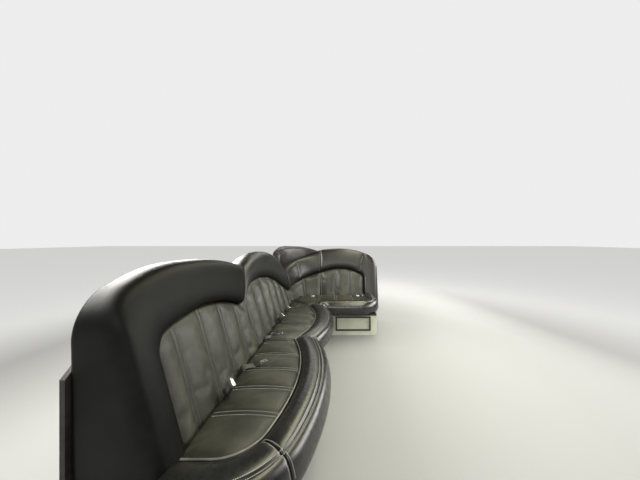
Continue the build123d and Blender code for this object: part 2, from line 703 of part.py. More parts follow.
def rear_panel_line(gap):
    """Top edge of the rear backrest's channelled panel, lowered by a gap."""
    def lower(point):
        return (point[0], point[1] - gap)
    return {
        "crown": (
            lower((rear_corner_x, REAR_PANEL_START_HEIGHT)),
            lower((crest_x, REAR_PANEL_CREST_HEIGHT)),
            lower(from_open(REAR_PANEL_SHOULDER)),
        ),
        "turn": (
            lower(from_open(REAR_PANEL_SHOULDER)),
            lower(from_open(REAR_PANEL_TURN)),
            lower((rear_post_x - gap, REAR_PANEL_SIDE_HEIGHT)),
        ),
    }


with BuildPart() as rear_back_bolster:
    edge = rear_panel_line(0)
    with BuildSketch(rear_face.offset(BACK_PROUD)):
        with BuildLine():
            rear_start = (rear_corner_x, REAR_START_HEIGHT)
            rear_crown = arc_by_height(rear_start, (crest_x, REAR_CREST_HEIGHT), mitre)
            Line((mitre[0], up_slope(mitre[1])), (rear_post_x, up_slope(REAR_PANEL_SIDE_HEIGHT)))
            arc_by_height(*edge["turn"])
            arc_by_height(*edge["crown"])
            Line(
                (rear_corner_x, up_slope(REAR_PANEL_START_HEIGHT)),
                (rear_corner_x, up_slope(REAR_START_HEIGHT)),
            )
        make_face()
    extrude(amount=-BACK_DEPTH)
    keep_rear_space()
    round_front(rear_back_bolster, rear_face, (rear_crown,))
finish(rear_back_bolster.part, "rear_back_bolster")

with BuildPart() as rear_back_end_post:
    with BuildSketch(rear_face.offset(BACK_PROUD)):
        with BuildLine():
            arc_by_height(mitre, from_open(REAR_SHOULDER), (OPEN_X, REAR_SIDE_HEIGHT))
            Polyline(
                (OPEN_X, up_slope(REAR_SIDE_HEIGHT)),
                (OPEN_X, below),
                (rear_post_x, below),
                (rear_post_x, up_slope(REAR_PANEL_SIDE_HEIGHT)),
                (mitre[0], up_slope(mitre[1])),
            )
        make_face()
    extrude(amount=-BACK_DEPTH)
    keep_rear_space()
finish(rear_back_end_post.part, "rear_back_end_post")

with BuildPart() as rear_back_insert:
    corner_turn(0)
    add(
        below_edge(
            CORNER_BAND_HEIGHT - SEAM_GAP,
            CORNER_BAND_MIDDLE - SEAM_GAP,
            REAR_PANEL_START_HEIGHT - SEAM_GAP,
        ),
        mode=Mode.INTERSECT,
    )
    edge = rear_panel_line(SEAM_GAP)
    with BuildSketch(rear_face) as flat_panel:
        with BuildLine():
            arc_by_height(*edge["crown"])
            arc_by_height(*edge["turn"])
            Polyline(
                (rear_post_x - SEAM_GAP, up_slope(REAR_PANEL_SIDE_HEIGHT - SEAM_GAP)),
                (rear_post_x - SEAM_GAP, below),
                (rear_corner_x, below),
                (rear_corner_x, up_slope(REAR_PANEL_START_HEIGHT - SEAM_GAP)),
            )
        make_face()
    extrude(amount=-BACK_DEPTH, mode=Mode.ADD)
    keep_rear_space()
    channel_count = int((OPEN_X - REAR_CHANNEL_START - rear_corner_x) / REAR_CHANNEL_PITCH) + 1
    rear_foot = Plane(origin=rear_face.origin, x_dir=rear_face.x_dir, z_dir=rear_face.y_dir)
    with BuildSketch(rear_foot):
        for channel in range(channel_count):
            with Locations((OPEN_X - REAR_CHANNEL_START - channel * REAR_CHANNEL_PITCH, 0)):
                stitch_pair()
    extrude(amount=PAD_HEIGHT, mode=Mode.SUBTRACT)
finish(rear_back_insert.part, "rear_back_insert")

# Upright pad that closes the corner behind the turned backrest
with BuildPart() as corner_pad:
    with BuildSketch(Plane.XY.offset(BOARD_TOP)):
        with BuildLine():
            Polyline(
                pad_corner,
                (pad_corner[0], pad_corner[1] - PAD_LEG),
                (pad_corner[0] + PAD_LEG, pad_corner[1]),
                close=True,
            )
        make_face()
    extrude(amount=PAD_HEIGHT - BOARD_TOP)
    with BuildSketch(diagonal) as pad_slope:
        with BuildLine():
            pad_half = PAD_LEG / sqrt(2)
            pad_end = (pad_half, PAD_HEIGHT - PAD_FALL)
            Polyline((-pad_half, PAD_HEIGHT), pad_end, (pad_half, PAD_HEIGHT), close=True)
        make_face()
    extrude(pad_slope.sketch, amount=-WIDTH, mode=Mode.SUBTRACT)
    pad_top = corner_pad.faces().sort_by(Axis.Z)[-1]
    fillet(pad_top.edges().sort_by(SortBy.LENGTH)[-1], PAD_ROUND)
finish(corner_pad.part, "corner_pad")

# Steel angle brackets hold the kick board and the wall board to the floor
bracket_ys = (NEAR_Y + END_RECESS + BRACKET_END_MARGIN, LOBE_SEAM_Y + BRACKET_END_MARGIN)
bracket_xs = (WALL_X + PLY, KICK_X - PLY)
with BuildPart() as floor_brackets:
    for bracket_y in bracket_ys:
        for bracket_x, away in zip(bracket_xs, (1, -1)):
            with BuildSketch(Plane.XZ.offset(-bracket_y - BRACKET_WIDTH / 2)):
                with BuildLine():
                    Polyline(
                        (bracket_x, 0),
                        (bracket_x + away * BRACKET_LEG, 0),
                        (bracket_x + away * BRACKET_LEG, BRACKET_PLATE),
                        (bracket_x + away * BRACKET_PLATE, BRACKET_PLATE),
                        (bracket_x + away * BRACKET_PLATE, BRACKET_LEG),
                        (bracket_x, BRACKET_LEG),
                        close=True,
                    )
                make_face()
            extrude(amount=BRACKET_WIDTH)
            with Locations((bracket_x + away * BRACKET_HOLE_REACH, bracket_y, BRACKET_PLATE)):
                Hole(BRACKET_HOLE_RADIUS, depth=BRACKET_PLATE)
finish(floor_brackets.part, "floor_brackets")

# Lap belts lie on the seat panels: webbing comes up out of the crevice to a buckle or a tongue
belt_z = SEAT_TOP + BELT_CLEARANCE


def belt_plane(belt):
    """Upright plane along a belt, whose local X runs from the crevice to the cabin."""
    (x, y), (out_x, out_y) = belt
    return Plane(origin=(x, y, belt_z), x_dir=(out_x, out_y, 0), z_dir=(out_y, -out_x, 0))


def side_belt(place):
    """Belt on the side bench, at a place from its near end."""
    return ((CREVICE_X, NEAR_Y + place), (1, 0))


def rear_belt(place):
    """Belt on the rear bench, at a place from its open end."""
    return ((OPEN_X - place, CREVICE_Y), (0, -1))


def corner_belt(angle):
    """Belt in the rounded corner, at an angle from +X."""
    crevice = on_circle(back_corner_c, CORNER_RADIUS, angle)
    return (crevice, (-cos(radians(angle)), -sin(radians(angle))))


def webbing(belt):
    """Strap that rises from the crevice and lies on the seat."""
    with BuildSketch(belt_plane(belt).offset(-WEBBING_WIDTH / 2)) as strap:
        with BuildLine():
            Polyline(
                (WEBBING_REACH, 0),
                (WEBBING_REACH, WEBBING_THICKNESS),
                (-WEBBING_DROP_SETBACK - WEBBING_THICKNESS, WEBBING_THICKNESS),
                (-WEBBING_DROP_SETBACK - WEBBING_THICKNESS, -WEBBING_DROP),
                (-WEBBING_DROP_SETBACK, -WEBBING_DROP),
                (-WEBBING_DROP_SETBACK, 0),
                close=True,
            )
        make_face()
    extrude(strap.sketch, amount=WEBBING_WIDTH)


def buckle(belt):
    """Push-button buckle at the strap's end."""
    length, width, height = BUCKLE_SIZE
    with BuildSketch(belt_plane(belt).offset(-width / 2)) as body:
        with Locations((WEBBING_REACH, 0)):
            Rectangle(length, height, align=(Align.MIN, Align.MIN))
        fillet(body.vertices().group_by(Axis.Y)[-1], BUCKLE_ROUND)
    extrude(body.sketch, amount=width)


def tongue(belt):
    """Moulded grip with a flat steel plate beyond it."""
    grip_length, grip_width, grip_height = TONGUE_GRIP
    plate_length, plate_width, plate_height = TONGUE_PLATE
    with BuildSketch(belt_plane(belt).offset(-grip_width / 2)) as grip:
        with Locations((WEBBING_REACH, 0)):
            Rectangle(grip_length, grip_height, align=(Align.MIN, Align.MIN))
        fillet(grip.vertices().group_by(Axis.Y)[-1], TONGUE_ROUND)
    extrude(grip.sketch, amount=grip_width)
    with BuildSketch(belt_plane(belt).offset(-plate_width / 2)) as plate:
        with Locations((WEBBING_REACH + grip_length, grip_height / 2)):
            Rectangle(plate_length, plate_height, align=(Align.MIN, Align.CENTER))
    extrude(plate.sketch, amount=plate_width)


side_buckles = [side_belt(place) for place in SIDE_BUCKLES]
side_tongues = [side_belt(place) for place in SIDE_TONGUES]
rear_buckles = [rear_belt(REAR_BUCKLE), corner_belt(CORNER_BUCKLE_ANGLE)]
rear_tongues = [rear_belt(REAR_TONGUE), corner_belt(CORNER_TONGUE_ANGLE)]

with BuildPart() as side_belt_webbing:
    for side_strap in side_buckles + side_tongues:
        webbing(side_strap)
finish(side_belt_webbing.part, "side_belt_webbing")

with BuildPart() as side_belt_buckles:
    for side_buckle in side_buckles:
        buckle(side_buckle)
finish(side_belt_buckles.part, "side_belt_buckles")

with BuildPart() as side_belt_tongues:
    for side_tongue in side_tongues:
        tongue(side_tongue)
finish(side_belt_tongues.part, "side_belt_tongues")

with BuildPart() as rear_belt_webbing:
    for rear_strap in rear_buckles + rear_tongues:
        webbing(rear_strap)
finish(rear_belt_webbing.part, "rear_belt_webbing")

with BuildPart() as rear_belt_buckles:
    for rear_buckle in rear_buckles:
        buckle(rear_buckle)
finish(rear_belt_buckles.part, "rear_belt_buckles")

with BuildPart() as rear_belt_tongues:
    for rear_tongue in rear_tongues:
        tongue(rear_tongue)
finish(rear_belt_tongues.part, "rear_belt_tongues")
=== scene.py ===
"""Looks of an L-shaped lounge bench in black leather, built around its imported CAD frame."""

import logging
import math
from dataclasses import dataclass, field
from enum import Enum
from functools import cached_property, partial
from typing import Callable, Sequence

import bmesh
import bpy
import numpy as np
from mathutils import Matrix, Vector


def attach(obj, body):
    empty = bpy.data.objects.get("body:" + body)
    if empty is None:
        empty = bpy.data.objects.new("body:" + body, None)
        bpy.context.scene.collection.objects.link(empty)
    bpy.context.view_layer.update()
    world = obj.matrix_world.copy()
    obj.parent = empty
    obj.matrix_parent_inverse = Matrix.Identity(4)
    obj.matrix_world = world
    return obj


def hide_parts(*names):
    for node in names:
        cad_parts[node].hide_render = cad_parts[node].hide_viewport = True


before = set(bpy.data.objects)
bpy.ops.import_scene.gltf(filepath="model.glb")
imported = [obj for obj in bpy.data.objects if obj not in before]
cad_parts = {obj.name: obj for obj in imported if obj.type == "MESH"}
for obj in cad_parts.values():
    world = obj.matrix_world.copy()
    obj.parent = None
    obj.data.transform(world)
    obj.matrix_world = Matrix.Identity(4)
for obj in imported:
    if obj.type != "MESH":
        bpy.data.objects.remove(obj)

LOG = logging.getLogger("bench")
BODY = "root"
QUARTER = math.pi / 2
Place = tuple[float, float]
Triple = tuple[float, float, float]
Face = tuple[int, ...]


class Slot(Enum):
    """Material slots of the record."""

    LEATHER = "leather"
    PANEL = "leather_panel"
    WEBBING = "webbing"
    PLASTIC = "buckle_plastic"
    CHROME = "chrome"


# Shader maths


@dataclass(frozen=True)
class Wire:
    """An output socket of a shader that takes part in arithmetic."""

    shader: "Shader"
    socket: bpy.types.NodeSocket

    def _maths(self, operation: str, *values: "Wire | float") -> "Wire":
        """Add a Math node for an operation on these values."""
        node = self.shader.node("ShaderNodeMath", {"operation": operation}, dict(enumerate(values)))
        return Wire(self.shader, node.outputs[0])

    def __add__(self, other: "Wire | float") -> "Wire":
        """Sum."""
        return self._maths("ADD", self, other)

    __radd__ = __add__

    def __sub__(self, other: "Wire | float") -> "Wire":
        """Difference."""
        return self._maths("SUBTRACT", self, other)

    def __rsub__(self, other: "Wire | float") -> "Wire":
        """Difference from a number."""
        return self._maths("SUBTRACT", other, self)

    def __mul__(self, other: "Wire | float") -> "Wire":
        """Product."""
        return self._maths("MULTIPLY", self, other)

    __rmul__ = __mul__

    def __pow__(self, other: "Wire | float") -> "Wire":
        """Power."""
        return self._maths("POWER", self, other)

    def __rpow__(self, other: "Wire | float") -> "Wire":
        """Power of a number."""
        return self._maths("POWER", other, self)

    def wave(self) -> "Wire":
        """Sine of the value in radians, moved to 0..1."""
        return self._maths("SINE", self) * 0.5 + 0.5

    def sine(self) -> "Wire":
        """Sine of the value in radians."""
        return self._maths("SINE", self)

    def between(self, low: float, high: float) -> "Wire":
        """Map the value smoothly from low..high to 0..1.

        Args:
            low: Value that gives 0.
            high: Value that gives 1.

        Returns:
            The mapped value.
        """
        settings = {"interpolation_type": "SMOOTHSTEP"}
        sockets = {"Value": self, "From Min": low, "From Max": high}
        return Wire(self.shader, self.shader.node("ShaderNodeMapRange", settings, sockets).outputs[0])


class Shader:
    """A material whose nodes come from one method."""

    def __init__(self, name: str) -> None:
        """Start an empty material with a Principled shader.

        Args:
            name: Name of the material.
        """
        self.material = bpy.data.materials.new(name)
        self.material.use_nodes = True
        self.tree = self.material.node_tree
        self.tree.nodes.clear()
        self.surface = self.node("ShaderNodeBsdfPrincipled")
        self.node("ShaderNodeOutputMaterial", {}, {"Surface": Wire(self, self.surface.outputs[0])})

    def node(
        self,
        kind: str,
        settings: dict[str, object] | None = None,
        sockets: dict[str | int, object] | None = None,
    ) -> bpy.types.Node:
        """Add a node.

        Args:
            kind: Type of the node.
            settings: Its properties, which are set first.
            sockets: Values or wires for its inputs, by name or number.

        Returns:
            The new node.
        """
        node = self.tree.nodes.new(kind)
        for key, value in (settings or {}).items():
            setattr(node, key, value)
        for key, value in (sockets or {}).items():
            self._feed(node.inputs[key], value)
        return node

    def _feed(self, socket: bpy.types.NodeSocket, value: object) -> None:
        """Link or set an input socket.

        Args:
            socket: The input.
            value: A wire, a number, a vector or a colour.
        """
        if isinstance(value, Wire):
            self.tree.links.new(value.socket, socket)
        elif socket.type == "RGBA":
            socket.default_value = (*value, 1)
        else:
            socket.default_value = value

    def coordinates(self, source: str = "Object") -> Wire:
        """Coordinates of the surface, from the object or its UV map."""
        return Wire(self, self.node("ShaderNodeTexCoord").outputs[source])

    def stretched(self, vector: Wire, scale: Triple) -> Wire:
        """Coordinates multiplied by a scale on each axis."""
        node = self.node("ShaderNodeMapping", {}, {"Vector": vector, "Scale": scale})
        return Wire(self, node.outputs[0])

    def noise(self, vector: Wire, scale: float, detail: float = 2, rough: float = 0.5) -> Wire:
        """Cloudy value between 0 and 1 at a scale in features per metre."""
        sockets = {"Vector": vector, "Scale": scale, "Detail": detail, "Roughness": rough}
        return Wire(self, self.node("ShaderNodeTexNoise", {}, sockets).outputs[0])

    def cells(self, vector: Wire, scale: float, feature: str = "DISTANCE_TO_EDGE") -> Wire:
        """Distance value of a cell pattern.

        Args:
            vector: Coordinates that it follows.
            scale: Cells per metre.
            feature: What the distance is measured to.

        Returns:
            The distance.
        """
        sockets = {"Vector": vector, "Scale": scale}
        node = self.node("ShaderNodeTexVoronoi", {"feature": feature}, sockets)
        return Wire(self, node.outputs["Distance"])

    def attribute(self, name: str) -> Wire:
        """Value of a point attribute of the mesh."""
        return Wire(self, self.node("ShaderNodeAttribute", {"attribute_name": name}).outputs["Fac"])

    def mix(self, factor: Wire, first: Triple, second: Triple) -> Wire:
        """Colour between two colours."""
        sockets = {0: factor, 6: first, 7: second}
        return Wire(self, self.node("ShaderNodeMix", {"data_type": "RGBA"}, sockets).outputs[2])

    def bump(self, height: Wire, depth: float) -> None:
        """Raise the surface by a height of 0 to 1 times a depth in metres."""
        node = self.node("ShaderNodeBump", {}, {"Height": height, "Distance": depth, "Strength": 1.0})
        self._feed(self.surface.inputs["Normal"], Wire(self, node.outputs[0]))

    def finish(self, **values: object) -> bpy.types.Material:
        """Set or link the Principled shader's sockets.

        Args:
            **values: Socket names with underscores for spaces, and their numbers, colours or wires.

        Returns:
            The finished material.
        """
        for key, value in values.items():
            self._feed(self.surface.inputs[key.replace("_", " ")], value)
        return self.material


# Finishes


@dataclass(frozen=True)
class Leather:
    """Black upholstery leather with a pebbled grain, soft creases and lighter rubbed crowns."""

    name: str
    dark: tuple[float, float, float] = (0.0045, 0.0048, 0.0046)
    rubbed: tuple[float, float, float] = (0.012, 0.0123, 0.0113)
    roughness: float = 0.38
    pebble: float = 620
    crease: float = 0.0006
    shine: float = 0.4
    cloud_scale: float = 7
    hand_scale: float = 38
    pore_scale: float = 1900
    fold_scale: Triple = (75, 9, 1)
    pull_scale: Triple = (14, 26, 1)

    def make(self) -> bpy.types.Material:
        """Build the material.

        Returns:
            The material.
        """
        shader = Shader(self.name)
        place = shader.coordinates()
        cloth = shader.coordinates("UV")
        seam = shader.attribute("seam")
        clouds = shader.noise(place, self.cloud_scale, 3)
        hand = shader.noise(place, self.hand_scale, 3)
        pebbles = shader.cells(place, self.pebble).between(0.0, 0.16)
        pores = shader.noise(place, self.pore_scale, 2)
        folds = shader.noise(shader.stretched(cloth, self.fold_scale), 1, 2)
        pulls = shader.noise(shader.stretched(cloth, self.pull_scale), 1, 3)
        rub = (clouds * 0.75 + hand * 0.35 - seam * 0.4).between(0.35, 0.8)
        gather = (folds - 0.5) * seam * 1.3
        height = gather + (pulls - 0.5) * 0.34 + pebbles * 0.13 + pores * 0.05
        shader.bump(height, self.crease)
        rough = self.roughness + (hand - 0.5) * 0.07 + seam * 0.06 - pebbles * 0.03
        return shader.finish(
            Base_Color=shader.mix(rub, self.dark, self.rubbed),
            Roughness=rough,
            Specular_IOR_Level=self.shine,
        )


@dataclass(frozen=True)
class Thread:
    """Waxed sewing thread with a twist."""

    name: str
    # Pale colour: the thread lightened as painted highlight along the seat's stitch lines
    colour: tuple[float, float, float] = (0.75, 0.73, 0.66)

    def make(self) -> bpy.types.Material:
        """Build the material.

        Returns:
            The material.
        """
        shader = Shader(self.name)
        place = shader.coordinates()
        fibre = shader.noise(place, 2600, 2)
        shader.bump(fibre, 0.0002)
        darker = tuple(channel * 0.5 for channel in self.colour)
        return shader.finish(
            Base_Color=shader.mix(fibre, darker, self.colour), Roughness=fibre * 0.2 + 0.35
        )


@dataclass(frozen=True)
class Carpet:
    """Short cut-pile carpet glued on the boards."""

    name: str
    dark: tuple[float, float, float]
    light: tuple[float, float, float]

    def make(self) -> bpy.types.Material:
        """Build the material.

        Returns:
            The material.
        """
        shader = Shader(self.name)
        place = shader.coordinates()
        tufts = shader.cells(place, 520, "F1")
        pile = shader.noise(place, 1400, 2)
        worn = shader.noise(place, 9, 3)
        tone = (tufts * 0.7 + pile * 0.4 + worn * 0.5).between(0.45, 1.2)
        shader.bump(pile * 0.6 - tufts * 0.8, 0.0016)
        return shader.finish(
            Base_Color=shader.mix(tone, self.dark, self.light),
            Roughness=worn * 0.1 + 0.85,
            Sheen_Weight=0.25,
            Sheen_Roughness=0.5,
        )


@dataclass(frozen=True)
class Plywood:
    """Birch plywood: long grain on the faces and thin glue lines on the edges."""

    name: str
    pale: tuple[float, float, float] = (0.55, 0.39, 0.23)
    brown: tuple[float, float, float] = (0.33, 0.2, 0.1)

    def make(self) -> bpy.types.Material:
        """Build the material.

        Returns:
            The material.
        """
        shader = Shader(self.name)
        place = shader.coordinates()
        warp = shader.noise(shader.stretched(place, (3, 0.6, 3)), 2, 3)
        grain = shader.noise(shader.stretched(place, (60, 2.4, 60)), 1, 5, 0.6)
        rings = (warp * 46 + grain * 2).wave() ** 2.0
        fibres = shader.noise(shader.stretched(place, (700, 24, 700)), 1, 2)
        tone = (rings * 0.35 + grain * 0.5 + fibres * 0.25).between(0.2, 0.95)
        shader.bump(fibres * 0.5 + rings * 0.4, 0.0003)
        return shader.finish(
            Base_Color=shader.mix(tone, self.pale, self.brown), Roughness=grain * 0.2 + 0.5
        )


@dataclass(frozen=True)
class Metal:
    """Metal with fine scratches, from bright chrome to dull zinc."""

    name: str
    colour: tuple[float, float, float]
    roughness: float

    def make(self) -> bpy.types.Material:
        """Build the material.

        Returns:
            The material.
        """
        shader = Shader(self.name)
        place = shader.coordinates()
        scratches = shader.noise(shader.stretched(place, (900, 60, 60)), 1, 3)
        stains = shader.noise(place, 45, 3)
        dull = tuple(channel * 0.72 for channel in self.colour)
        shader.bump(scratches, 0.00006)
        rough = self.roughness + (scratches - 0.5) * 0.12 + (stains - 0.5) * 0.12
        return shader.finish(
            Base_Color=shader.mix(stains, dull, self.colour), Roughness=rough, Metallic=1.0
        )


@dataclass(frozen=True)
class Webbing:
    """Woven belt webbing with a herringbone along the strap."""

    name: str
    dark: tuple[float, float, float] = (0.03, 0.03, 0.031)
    light: tuple[float, float, float] = (0.12, 0.12, 0.12)

    def make(self) -> bpy.types.Material:
        """Build the material.

        Returns:
            The material.
        """
        shader = Shader(self.name)
        cloth = shader.coordinates("UV")
        across = shader.node("ShaderNodeSeparateXYZ", {}, {0: cloth})
        along = Wire(shader, across.outputs[0])
        side = Wire(shader, across.outputs[1])
        rib = (along * 2600 + (side * 900).sine() * 1.4).wave()
        cord = (side * 2400).wave()
        weave = rib * 0.6 + cord * 0.4
        shader.bump(weave, 0.0004)
        return shader.finish(
            Base_Color=shader.mix(weave, self.dark, self.light), Roughness=weave * 0.15 + 0.5
        )


@dataclass(frozen=True)
class Plastic:
    """Moulded plastic with a spark-eroded texture."""

    name: str
    colour: tuple[float, float, float]
    roughness: float = 0.38

    def make(self) -> bpy.types.Material:
        """Build the material.

        Returns:
            The material.
        """
        shader = Shader(self.name)
        place = shader.coordinates()
        spark = shader.noise(place, 1500, 3, 0.7)
        wear = shader.noise(place, 60, 3)
        lighter = tuple(channel * 1.7 + 0.01 for channel in self.colour)
        shader.bump(spark, 0.00015)
        return shader.finish(
            Base_Color=shader.mix(wear, self.colour, lighter),
            Roughness=self.roughness + (wear - 0.5) * 0.2,
        )


class Finish(Enum):
    """Finishes of the bench, each made once, when it is first asked for."""

    BACK_BORDER = Leather("back border leather", roughness=0.36, shine=0.6)
    # Near length of the back border: the same leather given a darker colour, painted shade on the near end
    NEAR_BORDER = Leather(
        "near border leather", (0.002, 0.0022, 0.002), (0.006, 0.0062, 0.0057), 0.42, shine=0.14
    )
    SEAT_BORDER = Leather("seat border leather", roughness=0.3, crease=0.0002, shine=0.85)
    # Channelled panels: the same black leather given a lighter colour than the borders, painted light on
    # the panels
    PANEL = Leather(
        "channelled leather painted lighter", (0.019, 0.0192, 0.0145), (0.056, 0.055, 0.04), 0.36, crease=0.001, shine=0.5
    )
    # Piping: the same black leather given a pale colour, painted highlight along the welt
    PIPING = Leather(
        "piping leather painted bright", (0.09, 0.088, 0.078), (0.2, 0.195, 0.175), 0.27, crease=0.0004, shine=0.6
    )
    # Seat thread: pale colour as painted highlight on the seat's seams; the back's thread keeps a dark
    # colour
    THREAD = Thread("sewing thread")
    DARK_THREAD = Thread("dark sewing thread", (0.2, 0.195, 0.175))
    COVER = Carpet("black base carpet", (0.01, 0.01, 0.011), (0.045, 0.045, 0.046))
    # Riser carpet: a pale carpet made lighter still, painted light on the riser
    RISER_CARPET_PAINTED_LIGHT = Carpet("grey riser carpet with painted light", (0.45, 0.46, 0.36), (0.8, 0.82, 0.66))
    TRIM = Plastic("access frame plastic", (0.03, 0.03, 0.031), 0.3)
    PLYWOOD = Plywood("birch plywood")
    STAINED = Plywood("stained plywood", (0.02, 0.018, 0.016), (0.008, 0.007, 0.006))
    STEEL = Metal("zinc steel", (0.55, 0.56, 0.56), 0.42)
    WEBBING = Webbing("belt webbing")
    PLASTIC = Plastic("buckle plastic", (0.012, 0.012, 0.013))
    BUTTON = Plastic("release button", (0.07, 0.07, 0.068), 0.3)
    CHROME = Metal("bright chrome", (0.86, 0.87, 0.88), 0.14)

    @cached_property
    def material(self) -> bpy.types.Material:
        """Material of the finish."""
        return self.value.make()


# Plan of the bench


@dataclass
class BenchPlan:
    """Sizes of the bench in metres and the places that follow from them."""

    length: float = 2.625
    width: float = 1.25
    back_depth: float = 0.265
    seat_depth: float = 0.455
    corner_radius: float = 0.27
    ply: float = 0.015
    board_top: float = 0.29
    seat_top: float = 0.4
    roll_width: float = 0.16
    lobe_depth: float = 0.082
    near_apex: float = 0.6
    near_half: float = 0.45
    near_seam: float = -33
    near_corner: float = 0.31
    inside_corner: float = 0.045
    open_corner: float = 0.195
    rear_short: float = 0.045
    seat_pitch: float = 0.16
    seat_first: float = 0.352
    rear_pitch: float = 0.18
    rear_first: float = 0.345
    back_pitch: float = 0.165
    back_first: float = 0.315
    stitch_gap: float = 0.02
    lean: float = 15

    def __post_init__(self) -> None:
        """Work out the places that the sizes give."""
        self.wall_x = -self.width / 2
        self.open_x = self.width / 2
        self.near_y = -self.length / 2
        self.rear_y = self.length / 2
        self.crevice_x = self.wall_x + self.back_depth
        self.crevice_y = self.rear_y - self.back_depth
        self.front_x = self.crevice_x + self.seat_depth
        self.front_y = self.crevice_y - self.seat_depth
        self.seat_end_x = self.open_x - self.rear_short
        self.lobe_seam_y = self.near_y + self.near_apex + self.near_half
        self.corner_seam_y = self.front_y - self.inside_corner
        far_half = (self.corner_seam_y - self.lobe_seam_y) / 2
        self.near_r = self._lobe_radius(self.near_half)
        self.far_r = self._lobe_radius(far_half)
        self.near_c = (self.front_x - self.near_r, self.near_y + self.near_apex)
        self.far_c = (self.front_x - self.far_r, self.lobe_seam_y + far_half)
        corner_y = self.near_y + self.near_corner
        rise = corner_y - self.near_c[1]
        reach = self.near_r - self.near_corner
        self.near_corner_c = (self.near_c[0] + math.sqrt(reach**2 - rise**2), corner_y)
        self.near_tangent = math.degrees(math.asin(rise / reach))
        far_welt = self.far_r - self.roll_width
        half_chord = self.corner_seam_y - self.far_c[1]
        self.cusp_x = self.far_c[0] + math.sqrt(far_welt**2 - half_chord**2)
        self.inside_welt = self.inside_corner + self.roll_width
        self.inside_c = (self.cusp_x + self.inside_welt, self.corner_seam_y)
        self.open_c = (self.seat_end_x - self.open_corner, self.front_y + self.open_corner)
        self.back_corner = (self.crevice_x + self.corner_radius, self.crevice_y - self.corner_radius)

    def _lobe_radius(self, half: float) -> float:
        """Radius of a lobe from half its length."""
        return (half**2 + self.lobe_depth**2) / (2 * self.lobe_depth)


# Distances of the first rows from a sewn end
FINE_ROWS = [0.0, 0.003, 0.007, 0.013]


def spaced(length: float, step: float, fine_start: bool = True, fine_end: bool = True) -> np.ndarray:
    """Fractions along a length, closer together at sewn ends.

    Args:
        length: Length in metres.
        step: Usual distance between rows.
        fine_start: Whether the start is a sewn end.
        fine_end: Whether the end is a sewn end.

    Returns:
        Rising fractions from 0 to 1.
    """
    first = FINE_ROWS[-1] if fine_start else 0.0
    last = length - (FINE_ROWS[-1] if fine_end else 0.0)
    places = list(np.linspace(first, last, max(1, round((last - first) / step)) + 1))
    if fine_start:
        places = FINE_ROWS[:-1] + places
    if fine_end:
        places += [length - place for place in reversed(FINE_ROWS[:-1])]
    return np.array(places) / length


def smooth_step(values: np.ndarray, low: float, high: float) -> np.ndarray:
    """Smooth ramp from 0 at low to 1 at high."""
    t = np.clip((values - low) / (high - low), 0, 1)
    return t * t * (3 - 2 * t)


def arc_through(points: Sequence[Place], fractions: np.ndarray) -> np.ndarray:
    """Points along a straight line, or along the circle through three points.

    Args:
        points: Two or three places.
        fractions: Fractions along the arc.

    Returns:
        One place per fraction.
    """
    first, last = np.array(points[0], float), np.array(points[-1], float)
    if len(points) == 2:
        return first + (last - first) * fractions[:, None]
    middle = np.array(points[1], float)
    matrix = 2 * np.array([middle - first, last - first])
    sides = np.array([middle @ middle - first @ first, last @ last - first @ first])
    if abs(np.linalg.det(matrix)) < 1e-9:
        return first + (last - first) * fractions[:, None]
    centre = np.linalg.solve(matrix, sides)
    radius = np.linalg.norm(first - centre)
    angles = [math.atan2(*(point - centre)[::-1]) for point in (first, middle, last)]
    turn_last = (angles[2] - angles[0]) % (2 * math.pi)
    turn_middle = (angles[1] - angles[0]) % (2 * math.pi)
    if turn_middle > turn_last:
        turn_last -= 2 * math.pi
    angle = angles[0] + turn_last * fractions
    return centre + radius * np.stack([np.cos(angle), np.sin(angle)], axis=1)


def travelled(points: np.ndarray) -> np.ndarray:
    """Distance gone at each point of a line."""
    return np.concatenate([[0], np.cumsum(np.linalg.norm(np.diff(points, axis=0), axis=1))])


def to_ends(gone: np.ndarray) -> np.ndarray:
    """Distance to the nearer end of a line at each distance gone."""
    return np.minimum(gone, gone[-1] - gone)


def on_circle(centre: Place, radius: float, angle: float) -> Place:
    """Place on a circle at an angle in radians."""
    return centre[0] + radius * math.cos(angle), centre[1] + radius * math.sin(angle)


def normals(ahead: np.ndarray) -> np.ndarray:
    """Unit normals to the left of a line's direction at each point."""
    normal = np.stack([-ahead[:, 1], ahead[:, 0]], axis=1)
    return normal / np.maximum(np.linalg.norm(normal, axis=1), 1e-9)[:, None]


# Padded pieces


def new_piece(name: str, mesh: bpy.types.Mesh | bpy.types.Curve) -> bpy.types.Object:
    """Put a mesh or a curve in the scene as an object.

    Args:
        name: Name of the object.
        mesh: Its mesh or curve.

    Returns:
        The object.
    """
    piece = bpy.data.objects.new(name, mesh)
    bpy.context.scene.collection.objects.link(piece)
    return piece


def face_outwards(mesh: bpy.types.Mesh) -> None:
    """Turn the faces of closed shells outwards.

    Args:
        mesh: Mesh of the shells.
    """
    work = bmesh.new()
    work.from_mesh(mesh)
    bmesh.ops.recalc_face_normals(work, faces=work.faces)
    work.to_mesh(mesh)
    work.free()


def lay_cloth(mesh: bpy.types.Mesh, places: np.ndarray) -> None:
    """Give a mesh its UV map.

    Args:
        mesh: The mesh.
        places: Place of each vertex on the flat cloth, in metres.
    """
    layer = mesh.uv_layers.new(name="UVMap")
    corners = np.empty(len(mesh.loops), dtype=np.int64)
    mesh.loops.foreach_get("vertex_index", corners)
    layer.data.foreach_set("uv", places[corners].astype(np.float32).ravel())


def evaluated_points(piece: bpy.types.Object) -> np.ndarray:
    """Points of an object's mesh after its modifiers.

    Args:
        piece: The object.

    Returns:
        One point per vertex.
    """
    mesh = piece.evaluated_get(bpy.context.evaluated_depsgraph_get()).data
    points = np.empty(len(mesh.vertices) * 3)
    mesh.vertices.foreach_get("co", points)
    return points.reshape(-1, 3)


